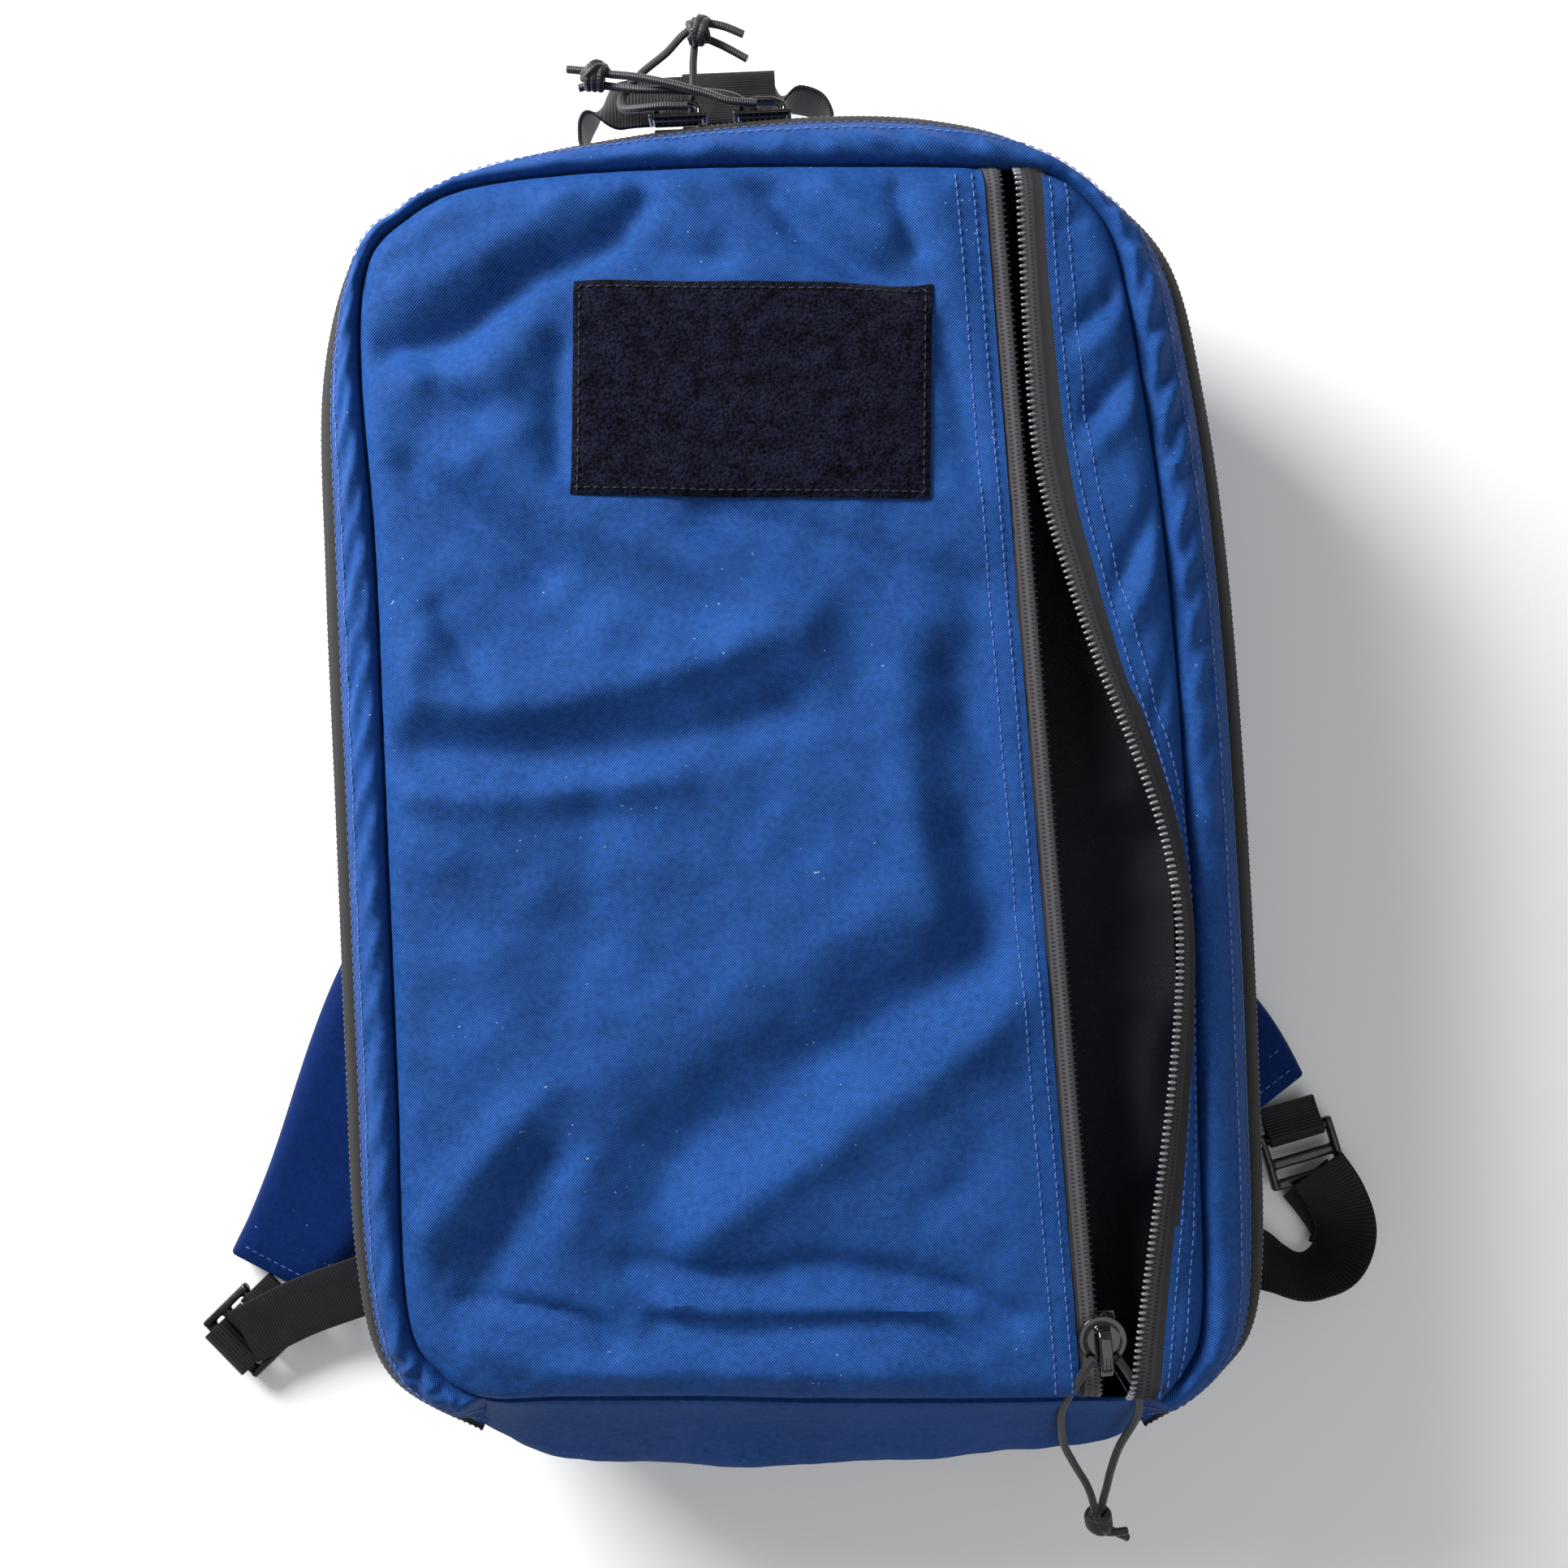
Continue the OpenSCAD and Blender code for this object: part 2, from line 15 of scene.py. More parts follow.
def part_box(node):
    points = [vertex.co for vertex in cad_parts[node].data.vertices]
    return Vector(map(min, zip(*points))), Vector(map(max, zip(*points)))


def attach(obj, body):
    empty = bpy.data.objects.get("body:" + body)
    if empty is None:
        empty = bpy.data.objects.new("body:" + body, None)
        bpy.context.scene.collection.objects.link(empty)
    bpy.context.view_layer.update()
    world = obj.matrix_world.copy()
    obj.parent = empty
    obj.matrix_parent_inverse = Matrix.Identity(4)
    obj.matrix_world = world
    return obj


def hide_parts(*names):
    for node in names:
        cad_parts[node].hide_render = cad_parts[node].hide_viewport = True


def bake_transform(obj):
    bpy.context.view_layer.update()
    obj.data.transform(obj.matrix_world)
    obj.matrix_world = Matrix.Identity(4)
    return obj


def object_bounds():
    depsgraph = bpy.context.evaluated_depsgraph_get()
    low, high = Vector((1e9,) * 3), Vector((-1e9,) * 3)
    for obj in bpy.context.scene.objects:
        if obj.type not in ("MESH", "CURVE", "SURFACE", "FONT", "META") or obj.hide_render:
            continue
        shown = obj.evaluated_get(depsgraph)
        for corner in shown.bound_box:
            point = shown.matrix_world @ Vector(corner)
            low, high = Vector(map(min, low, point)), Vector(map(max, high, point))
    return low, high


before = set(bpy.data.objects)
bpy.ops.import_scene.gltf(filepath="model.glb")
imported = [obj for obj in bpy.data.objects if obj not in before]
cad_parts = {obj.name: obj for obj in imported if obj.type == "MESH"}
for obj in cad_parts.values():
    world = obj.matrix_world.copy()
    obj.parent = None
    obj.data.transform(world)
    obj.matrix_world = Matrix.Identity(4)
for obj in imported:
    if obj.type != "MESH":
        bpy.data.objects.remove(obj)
cad_low, cad_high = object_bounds()

MM = 0.001
back_low, back_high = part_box("back_panel")
MIDDLE = np.array([(back_low.x + back_high.x) / 2, (back_low.y + back_high.y) / 2, 0.0])

# ---- Sizes, in millimetres, as the frame has them ----

ZIP_Z = 85.0
FRONT_Z = 125.0
SEAM_Z = 115.5
BACK_Z = 28.0
BAND_INSET = 4.5
BACK_INSET = 12.0
ZIP_X = 93.5
ZIP_LEAN = -0.041
ZIP_TOP = 214.0
ZIP_BOTTOM = -207.0
GAP_MAX = 37.0
LIP_RISE = 12.0
TAPE_W = 9.0
SLIDER_Y = -198.0
CORD_D = 3.0
WEB_W = 25.0
WEB_T = 1.6
HANDLE_X = -22.0

# The bag's outline at the main zipper and at the front panel's seam, point for point,
# from the zipper's left end over the top to its right end, and back along the bottom
RIM = [
    (-127, -236), (-161, -213), (-171, -170), (-172, -95), (-172, 0), (-172, 90), (-170, 160),
    (-157, 207), (-137, 225), (-105, 239), (-74, 246), (-20, 252), (30, 253.5), (66, 250),
    (96, 241), (125, 222), (151, 192), (162, 140), (168, 78), (171, 0), (172, -100),
    (169, -195), (152, -227), (124, -245), (105, -253), (58, -256), (0, -257), (-40, -256),
    (-95, -251),
]
SEAM = [
    (-118, -213), (-135, -203), (-146, -178), (-146, -95), (-146, 0), (-146, 90), (-148.5, 160),
    (-144, 195), (-129, 211), (-108, 220.5), (-70, 224.5), (-15, 225), (30, 223.5), (70, 221.5),
    (98, 218), (112, 210), (124, 190), (132, 140), (138, 78), (141, 0), (141, -100),
    (140, -188), (132, -213), (114, -222), (95, -222), (58, -221), (0, -218.5), (-40, -216),
    (-90, -214),
]
ZIP_ENDS = (0, 23)
ZIP_CORNER = 13.2
ZIP_FOOT = 24.04

# ---- Points and curves ----


def placed(points):
    """Bag millimetres to metres in the row frame."""
    return np.asarray(points, float) * MM + MIDDLE


def spline(points, per_span, closed=False):
    """A smooth line through points, with per_span pieces between each two."""
    p = np.asarray(points, float)
    n = len(p)
    out = []
    for i in range(n if closed else n - 1):
        a, b, c, d = (
            p[k % n] if closed else p[min(max(k, 0), n - 1)] for k in (i - 1, i, i + 1, i + 2)
        )
        for t in np.arange(per_span) / per_span:
            out.append(
                0.5 * (2 * b + (c - a) * t + (2 * a - 5 * b + 4 * c - d) * t**2
                       + (3 * b - a - 3 * c + d) * t**3)
            )
    if not closed:
        out.append(p[-1])
    return np.array(out)


def along(line):
    """Distance along a line at each of its points."""
    steps = np.linalg.norm(np.diff(line, axis=0), axis=1)
    return np.concatenate([[0], np.cumsum(steps)])


def value_at(distance, s, values):
    """Each column of values at a distance, where s is the distance of each row."""
    return [np.interp(distance, s, column) for column in values.T]


def evenly(line, count):
    """The same line with count points, evenly spaced."""
    s = along(line)
    return np.stack(value_at(np.linspace(0, s[-1], count), s, line), axis=1)


def spaced(line, step):
    """The same line with points about one step apart."""
    return evenly(line, max(2, int(round(along(line)[-1] / step)) + 1))


PER_SPAN = 24
RIM_LOOP = spline(RIM, PER_SPAN, closed=True)
SEAM_LOOP = spline(SEAM, PER_SPAN, closed=True)


def piece_of(loop, first, last):
    """The part of an outline between two of its numbered points, round the start if need be."""
    i, j = int(round(first * PER_SPAN)), int(round(last * PER_SPAN))
    return loop[np.arange(i, j + 1) % len(loop)]


def smooth_step(t):
    """0 below 0, 1 above 1, and smooth in between."""
    t = np.clip(t, 0, 1)
    return t * t * (3 - 2 * t)


def bell(distance, wide):
    """1 at no distance, and next to nothing past twice that width."""
    return np.exp(-((distance / wide) ** 2))


def unit(v):
    return v / np.maximum(np.linalg.norm(v, axis=-1, keepdims=True), 1e-9)


def crossed(a, b):
    """A grid of pairs: each value of a with each value of b."""
    return np.stack(np.meshgrid(a, b, indexing="ij"), axis=-1)


def wobble(points, size, seed=0.0):
    """Soft noise from about -1 to 1 at each point, with lumps of that size."""
    flat = np.asarray(points, float).reshape(-1, np.shape(points)[-1])
    at = np.zeros((len(flat), 3))
    at[:, :flat.shape[1]] = flat / size
    at += (seed, -seed, 0)
    value = np.array([noise.noise(Vector(p)) for p in at])
    return value.reshape(np.shape(points)[:-1]) * 1.6


def to_line(points, line):
    """Distance in plan from each point to a line."""
    a, b = line[:-1, :2], line[1:, :2]
    flat = np.asarray(points, float).reshape(-1, np.shape(points)[-1])[:, :2]
    d = b - a
    out = np.full(len(flat), 1e9)
    for i in range(len(a)):
        t = np.clip(((flat - a[i]) @ d[i]) / max(d[i] @ d[i], 1e-9), 0, 1)
        out = np.minimum(out, np.linalg.norm(flat - a[i] - t[:, None] * d[i], axis=1))
    return out.reshape(np.shape(points)[:-1])


def zip_x(y):
    """The closed front zipper's line: its place across the bag at each height up it."""
    return ZIP_X + ZIP_LEAN * y


# ---- Meshes ----


def lay_cloth(mesh, uv):
    """Gives a mesh its cloth coordinates: one pair for each point, in millimetres."""
    layer = mesh.uv_layers.new(name="cloth")
    index = np.zeros(len(mesh.loops), np.int32)
    mesh.loops.foreach_get("vertex_index", index)
    layer.data.foreach_set("uv", np.asarray(uv, np.float32)[index].ravel())


def new_mesh(name, points, faces, uv):
    """A mesh object from bag millimetres, with its cloth coordinates."""
    mesh = bpy.data.meshes.new(name)
    mesh.from_pydata([tuple(p) for p in placed(points)], [], [tuple(f) for f in faces])
    mesh.validate()
    lay_cloth(mesh, uv)
    obj = bpy.data.objects.new(name, mesh)
    bpy.context.scene.collection.objects.link(obj)
    shade(obj)
    return obj


def shade(obj, angle=50):
    """Smooth shading, but for edges sharper than that angle."""
    obj.data.polygons.foreach_set("use_smooth", [True] * len(obj.data.polygons))
    obj.data.set_sharp_from_angle(angle=math.radians(angle))
    obj.data.update()


def normals_of(grid):
    """The way that a grid's face looks, at each of its points."""
    du = np.gradient(grid, axis=0)
    dv = np.gradient(grid, axis=1)
    return unit(np.cross(du, dv))


def grid_uv(grid):
    """Distances along both ways of a grid, in millimetres."""
    du = np.linalg.norm(np.diff(grid, axis=0), axis=2).mean(axis=1)
    dv = np.linalg.norm(np.diff(grid, axis=1), axis=2).mean(axis=0)
    return crossed(*(np.concatenate([[0], np.cumsum(steps)]) for steps in (du, dv)))


def sheet_faces(n, m):
    """The faces of a closed sheet: an n by m grid, the same grid behind it, and the rim."""
    index = np.arange(n * m).reshape(n, m)
    a, b, c, d = index[:-1, :-1], index[1:, :-1], index[1:, 1:], index[:-1, 1:]
    front = np.stack([a, b, c, d], axis=-1).reshape(-1, 4)
    ring = np.concatenate([index[:, 0], index[-1, 1:], index[-2::-1, -1], index[0, -2:0:-1]])
    after = np.roll(ring, -1)
    rim = np.stack([after, ring, ring + n * m, after + n * m], axis=-1)
    return np.concatenate([front, front[:, ::-1] + n * m, rim])


def sheet(name, front, back, uv, flip=False):
    """A closed sheet between two grids. flip is for a front grid whose normals point inward."""
    points = np.concatenate([front.reshape(-1, 3), back.reshape(-1, 3)])
    faces = sheet_faces(*front.shape[:2])
    if flip:
        faces = faces[:, ::-1]
    return new_mesh(name, points, faces, np.concatenate([uv.reshape(-1, 2)] * 2))


def shell(name, grid, thick, uv=None, flip=False):
    """A closed sheet of cloth: the grid is its outer face, and its thickness lies behind it."""
    out = normals_of(grid) * (-1 if flip else 1)
    return sheet(name, grid, grid - out * thick, grid_uv(grid) if uv is None else uv, flip)


def sweep(name, path, section, side=None):
    """A solid along a path. section is a closed outline of (across, up) pairs; side points across."""
    path = np.asarray(path, float)
    ahead = unit(np.gradient(path, axis=0))
    if side is None:
        side = np.zeros_like(path)
        side[0] = unit(np.cross(ahead[0], [0.1, 0.2, 1.0]))
        for i in range(1, len(path)):
            side[i] = unit(side[i - 1] - ahead[i] * (side[i - 1] @ ahead[i]))
    side = np.broadcast_to(np.asarray(side, float), path.shape)
    side = unit(side - ahead * np.sum(side * ahead, axis=1, keepdims=True))
    up = np.cross(side, ahead)
    across, rise = section.T[:, None, :, None]
    rings = path[:, None] + side[:, None] * across + up[:, None] * rise
    index = np.arange(len(path) * len(section)).reshape(len(path), len(section))
    here, there = index[:-1], index[1:]
    quads = np.stack([here, np.roll(here, -1, axis=1), np.roll(there, -1, axis=1), there], axis=-1)
    faces = [*quads.reshape(-1, 4), index[0][::-1], index[-1]]
    around = along(np.concatenate([section, section[:1]]))[:-1]
    uv = crossed(along(path), around).reshape(-1, 2)
    obj = new_mesh(name, rings.reshape(-1, 3), faces, uv)
    fix_normals(obj)
    return obj


def fix_normals(obj):
    """Turns every face of a closed mesh outward."""
    bm = bmesh.new()
    bm.from_mesh(obj.data)
    bmesh.ops.recalc_face_normals(bm, faces=bm.faces)
    bm.to_mesh(obj.data)
    bm.free()


def circle(r, sides=12):
    """A round section for sweep()."""
    a = np.arange(sides) * 2 * math.pi / sides
    return np.stack([r * np.cos(a), r * np.sin(a)], axis=1)


def flat_section(width, thick, corner=0.6, steps=3, rows=1):
    """A rounded strip's outline, wide across and thin up, with its long sides cut into rows."""
    w, h = width / 2 - corner, thick / 2 - min(corner, thick / 2)
    r = min(corner, thick / 2)
    out = []
    for cx, cy, start in ((w, h, 0), (-w, h, 90), (-w, -h, 180), (w, -h, 270)):
        for i in range(steps + 1):
            a = math.radians(start + 90 * i / steps)
            out.append((cx + r * math.cos(a), cy + r * math.sin(a)))
        if start in (0, 180):
            sign = 1 if start == 0 else -1
            for i in range(1, rows):
                out.append((sign * (w - 2 * w * i / rows), cy + sign * r))
    return np.array(out)


def scatter(name, template, faces, places, frames):
    """Copies of a small shape, as one mesh. frames holds each copy's three axes as rows."""
    template = np.asarray(template, float)
    k = len(template)
    points = np.einsum("kc,ncd->nkd", template, frames) + places[:, None, :]
    all_faces = [tuple(np.array(f) + i * k) for i in range(len(places)) for f in faces]
    flat = points.reshape(-1, 3)
    return new_mesh(name, flat, all_faces, flat[:, :2] + flat[:, 2:])


def capsule(length, wide, high, sides=6, rings=4):
    """A rounded bar along its first axis."""
    points, faces = [(-length / 2, 0, 0)], []
    for i in range(1, rings):
        a = math.pi * i / rings
        x = -length / 2 * math.cos(a)
        r = math.sin(a) ** 0.6
        for j in range(sides):
            b = 2 * math.pi * j / sides
            points.append((x, wide / 2 * r * math.cos(b), high / 2 * r * math.sin(b)))
    points.append((length / 2, 0, 0))
    for j in range(sides):
        k = (j + 1) % sides
        faces.append((0, 1 + k, 1 + j))
        for i in range(rings - 2):
            a = 1 + i * sides
            faces.append((a + j, a + k, a + sides + k, a + sides + j))
        last = 1 + (rings - 2) * sides
        faces.append((last + j, last + k, len(points) - 1))
    return points, faces


def frames_along(line, up):
    """Each point's axes on a line: ahead, across and up."""
    ahead = unit(np.gradient(line, axis=0))
    up = np.broadcast_to(np.asarray(up, float), line.shape)
    across = unit(np.cross(up, ahead))
    return np.stack([ahead, across, np.cross(ahead, across)], axis=1)


# A stitch's length, width and height, and the distance from one to the next
STITCH_SIZE = (2.5, 0.62, 0.5)
STITCH_PITCH = 3.4
STITCH = capsule(*STITCH_SIZE)
UP = (0, 0, 1)


def stitches(name, line, up, sink=0.05):
    """A row of short stitches that lie on the cloth."""
    line = np.asarray(line, float)
    at = spaced(line, STITCH_PITCH)
    s = along(line)
    normal = np.broadcast_to(np.asarray(up, float), line.shape)
    normal = unit(np.stack(value_at(np.linspace(0, s[-1], len(at)), s, normal), axis=1))
    lifted = at + normal * (STITCH_SIZE[2] / 2 - sink)
    return scatter(name, *STITCH, lifted, frames_along(at, normal))


def joined(name, objects):
    """Several objects as one mesh."""
    bpy.ops.object.select_all(action="DESELECT")
    for o in objects:
        o.select_set(True)
    bpy.context.view_layer.objects.active = objects[0]
    bpy.ops.object.join()
    objects[0].name = name
    objects[0].data.name = name
    return objects[0]


def apply_modifiers(obj):
    """Makes a mesh's modifiers part of its shape."""
    bpy.context.view_layer.objects.active = obj
    bpy.ops.object.select_all(action="DESELECT")
    obj.select_set(True)
    for m in list(obj.modifiers):
        bpy.ops.object.modifier_apply(modifier=m.name)


def planar_uv(obj):
    """Cloth coordinates in millimetres for a mesh that has lost its own."""
    mesh = obj.data
    co = np.zeros(len(mesh.vertices) * 3, np.float32)
    mesh.vertices.foreach_get("co", co)
    co = co.reshape(-1, 3) / MM
    lay_cloth(mesh, co[:, :2] + co[:, 2:])


def moulded(name, shapes, voxel, rounds):
    """One rounded solid from blocks and rods, each a function that adds to a bmesh."""
    bm = bmesh.new()
    for add in shapes:
        add(bm)
    mesh = bpy.data.meshes.new(name)
    bm.to_mesh(mesh)
    bm.free()
    obj = bpy.data.objects.new(name, mesh)
    bpy.context.scene.collection.objects.link(obj)
    remesh = obj.modifiers.new("whole", "REMESH")
    remesh.mode = "VOXEL"
    remesh.voxel_size = voxel * MM
    soften = obj.modifiers.new("soften", "SMOOTH")
    soften.factor = 0.5
    soften.iterations = rounds
    apply_modifiers(obj)
    planar_uv(obj)
    shade(obj, 60)
    return obj


def block(low, high, place):
    """A box for moulded(), between two corners in the part's own frame."""
    def add(bm):
        size = np.subtract(high, low) * MM
        centre = np.add(high, low) / 2
        made = bmesh.ops.create_cube(bm, size=1)["verts"]
        m = Matrix.Translation(Vector(centre * MM)) @ Matrix.Diagonal((*size, 1))
        bmesh.ops.transform(bm, matrix=place @ m, verts=made)
    return add


def rod(a, b, r, place, end_r=None):
    """A round bar for moulded(), from one point to another in the part's own frame."""
    def add(bm):
        p, q = Vector(a) * MM, Vector(b) * MM
        d = q - p
        made = bmesh.ops.create_cone(
            bm, cap_ends=True, segments=32, radius1=r * MM, radius2=(end_r or r) * MM, depth=d.length
        )["verts"]
        m = Matrix.Translation((p + q) / 2) @ d.to_track_quat("Z", "Y").to_matrix().to_4x4()
        bmesh.ops.transform(bm, matrix=place @ m, verts=made)
    return add


def local_frame(at, turn_z=0.0, turn_x=0.0):
    """Places a part drawn at the origin: turned about X, then about Z, then moved."""
    return (
        Matrix.Translation(Vector(placed(at)))
        @ Matrix.Rotation(math.radians(turn_z), 4, "Z")
        @ Matrix.Rotation(math.radians(turn_x), 4, "X")
    )


def spot(x, y, z):
    return tuple(placed((x, y, z)))


# ---- Cords: each pull is one elastic cord, doubled through its slider's crown and knotted ----

FRONT_LEGS = (
    [(97.3, -203.5, 129.5), (94, -210, 126.5), (90.5, -220, 118.5), (88.7, -230, 109.5),
     (91, -246, 96), (96, -258, 87.5), (102, -270, 80.5), (105, -280, 76), (105.8, -288, 74),
     (110.5, -292, 72), (118.5, -293, 69.5)],
    [(105.9, -203.5, 129.5), (110, -210, 126), (115, -220, 118.5), (116.5, -233, 107.5),
     (112.5, -250, 93), (110.5, -262, 85), (109.5, -271, 79.8), (108.8, -280, 73.5),
     (109, -287, 69.5), (113, -294, 65.5), (120, -299, 62.5)],
)
LEFT_LEGS = (
    [(-28, 259, 89.4), (-38, 259.3, 89.6), (-47, 259.7, 87.6), (-53, 262, 82.8), (-54, 267, 78.2),
     (-51.5, 272, 76), (-46, 278, 76.2), (-36, 284.8, 77.6), (-29, 290.5, 79.8), (-22, 294, 80.6),
     (-14, 293, 80.4), (-6, 289.5, 80.2)],
    [(-27, 259, 80.6), (-26.5, 265, 79), (-26, 274, 77.8), (-25.5, 283, 77.4), (-23.5, 290, 77.6),
     (-16, 287.8, 77.4), (-5, 281.5, 77.2)],
)
RIGHT_LEGS = (
    [(-2, 259, 89.4), (-12.8, 260.5, 89.4), (-21, 264, 88.5), (-34, 268.8, 86.8),
     (-46.8, 273.2, 84), (-57, 276, 81), (-63, 277.6, 80), (-74, 280, 78)],
    [(-2, 259.6, 80.4), (-6, 263, 80.4), (-13, 265.8, 82.2), (-25.5, 267.3, 83),
     (-36, 268.5, 82.5), (-47, 269.8, 81), (-57, 272.2, 79), (-64, 273.8, 77.8), (-70, 273, 77)],
)
# Each pull, by its body: its legs, its knot's place and direction, and its CAD nodes
PULLS = {
    "front_pull": (FRONT_LEGS, (107.3, -287, 71.5), (0.15, -1, -0.5), "front_cord", "front_knot"),
    "main_pull_left": (LEFT_LEGS, (-23, 291.5, 80), (1, 0.5, 0), "main_cord_left", "main_knot_left"),
    "main_pull_right": (
        RIGHT_LEGS, (-63, 276, 79), (-1, 0.15, -0.1), "main_cord_right", "main_knot_right"
    ),
}
# A knot's turns: how many, how long and how wide; and how long its two strands over them are
KNOT_TURNS = 2.7
KNOT_LENGTH = 6.4
KNOT_RADIUS = 3.9
KNOT_OVER = 9.5


def knot(name, at, heading):
    """An overhand knot in doubled cord: turns side by side, with two strands over them."""
    axis = unit(np.array(heading, float))
    side = unit(np.cross(axis, [0.1, 0.2, 1.0]))
    up = np.cross(side, axis)
    k = np.linspace(0, 1, 90)[:, None]

    def winding(part, length, angle, radius, thinner=0.0):
        path = at + axis * (k - 0.5) * length + (side * np.cos(angle) + up * np.sin(angle)) * radius
        return sweep(f"{name}_{part}", path, circle(CORD_D / 2 - thinner))

    pieces = [winding("turns", KNOT_LENGTH, k * 2 * math.pi * KNOT_TURNS, KNOT_RADIUS)]
    for shift in (0.0, 0.62):
        pieces.append(winding("over", KNOT_OVER, shift + k * 1.9, 2.0 + 3.2 * np.sin(k * math.pi), 0.1))
    return joined(name, pieces)


cord_pieces = []
for body, (legs, knot_at, heading, cord_node, knot_node) in PULLS.items():
    tied = knot(body + "_knot", np.array(knot_at, float), heading)
    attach(tied, body)
    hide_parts(knot_node)
    cord_pieces.append(tied)
    for i, leg in enumerate(legs):
        line = spline(leg, 8)
        piece = sweep(f"{body}_cord_{i + 1}", line, circle(CORD_D / 2))
        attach(piece, body)
        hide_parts(cord_node)
        cord_pieces.append(piece)

# ---- Camera, light and floor ----

CAMERA = (-2.5, 2.7, 685.0)
CAMERA_TURN = -2.4
CAMERA_WIDE = 52.7
WORLD_LIGHT = 0.27
FLOOR_SIZE = 8
FLOOR_GAP = 0.0002

scene = bpy.context.scene
camera_data = bpy.data.cameras.new("camera")
camera_data.angle = math.radians(CAMERA_WIDE)
camera = bpy.data.objects.new("camera", camera_data)
camera.location = placed(CAMERA)
camera.rotation_euler = (0, 0, math.radians(CAMERA_TURN))
scene.collection.objects.link(camera)
scene.camera = camera
scene.view_settings.view_transform = "Standard"

world = bpy.data.worlds.new("studio")
world.use_nodes = True
world.node_tree.nodes["Background"].inputs["Color"].default_value = (1, 1, 1, 1)
world.node_tree.nodes["Background"].inputs["Strength"].default_value = WORLD_LIGHT
scene.world = world


def lamp(name, at, size, power):
    """A square soft light that faces the bag."""
    data = bpy.data.lights.new(name, "AREA")
    data.size = size
    data.energy = power
    obj = bpy.data.objects.new(name, data)
    obj.location = placed(at)
    aim = Vector(spot(0, 0, 90)) - obj.location
    obj.rotation_euler = aim.to_track_quat("-Z", "Y").to_euler()
    scene.collection.objects.link(obj)


lamp("key", (-950, 900, 800), 0.6, 44)
lamp("fill", (500, -500, 1300), 1.2, 5)

# ---- Materials ----


def colour(r, g, b):
    """A screen colour, each part 0 to 255, as the linear one that a shader takes."""
    parts = (c / 255 for c in (r, g, b))
    return tuple(c / 12.92 if c < 0.04 else ((c + 0.055) / 1.055) ** 2.4 for c in parts) + (1,)


class Paint:
    """One material, with short ways to add and wire its nodes."""

    def __init__(self, name, base, rough, specular=0.4, sheen=0.0, coat=0.0):
        self.material = bpy.data.materials.new(name)
        self.material.use_nodes = True
        self.nodes = self.material.node_tree.nodes
        self.links = self.material.node_tree.links
        self.shader = self.nodes["Principled BSDF"]
        inputs = self.shader.inputs
        inputs["Base Color"].default_value = colour(*base)
        inputs["Roughness"].default_value = rough
        inputs["Specular IOR Level"].default_value = specular
        inputs["Sheen Weight"].default_value = sheen
        inputs["Sheen Roughness"].default_value = 0.4
        inputs["Coat Weight"].default_value = coat
        self.material.diffuse_color = colour(*base)

    def put(self, kind, inputs=(), **settings):
        """Adds a node. An input that is another node's output is wired, and any other is set."""
        node = self.nodes.new(kind)
        for key, value in settings.items():
            setattr(node, key, value)
        for key, value in dict(inputs).items():
            if isinstance(value, bpy.types.NodeSocket):
                self.links.new(value, node.inputs[key])
            else:
                node.inputs[key].default_value = value
        return node

    def maths(self, operation, a, b=0.0, clamp=False):
        """What one operation makes of two values, held between 0 and 1 by clamp."""
        return self.put(
            "ShaderNodeMath", {0: a, 1: b}, operation=operation, use_clamp=clamp
        ).outputs[0]

    def plus(self, a, b, clamp=False):
        return self.maths("ADD", a, b, clamp)

    def less(self, a, b):
        return self.maths("SUBTRACT", a, b)

    def times(self, a, b, clamp=False):
        return self.maths("MULTIPLY", a, b, clamp)

    def cloth(self):
        """The piece's own cloth coordinates, in millimetres."""
        where = self.put("ShaderNodeUVMap", uv_map="cloth").outputs[0]
        parts = self.put("ShaderNodeSeparateXYZ", {0: where})
        return parts.outputs[0], parts.outputs[1]

    def noise(self, size, detail=2.0):
        """Soft noise with lumps of that many millimetres, fixed to the piece."""
        where = self.put("ShaderNodeTexCoord").outputs["Object"]
        return self.put(
            "ShaderNodeTexNoise", {"Vector": where, "Scale": 1 / (size * MM), "Detail": detail}
        ).outputs["Fac"]

    def wave(self, at, pitch):
        """A sine from -1 to 1 that repeats every pitch millimetres."""
        return self.maths("SINE", self.times(at, 2 * math.pi / pitch))

    def mix(self, share, a, b):
        """Colour a where share is 0, and b where it is 1."""
        node = self.put("ShaderNodeMix", data_type="RGBA")
        for index, value in ((0, share), (6, a), (7, b)):
            if isinstance(value, bpy.types.NodeSocket):
                self.links.new(value, node.inputs[index])
            else:
                node.inputs[index].default_value = value
        return node.outputs[2]

    def between(self, value, low, high):
        """0 below low, 1 above high, and smooth in between."""
        node = self.put(
            "ShaderNodeMapRange", {"Value": value, "From Min": low, "From Max": high},
            interpolation_type="SMOOTHSTEP",
        )
        return node.outputs[0]

    def surface(self, base, height, depth, strength, rough=None):
        """Wires a colour, a height that is depth millimetres deep, and a roughness."""
        self.links.new(base, self.shader.inputs["Base Color"])
        if rough is not None:
            self.links.new(rough, self.shader.inputs["Roughness"])
        bump = self.put(
            "ShaderNodeBump", {"Height": height, "Distance": depth * MM, "Strength": strength}
        )
        self.links.new(bump.outputs[0], self.shader.inputs["Normal"])
        return self.material


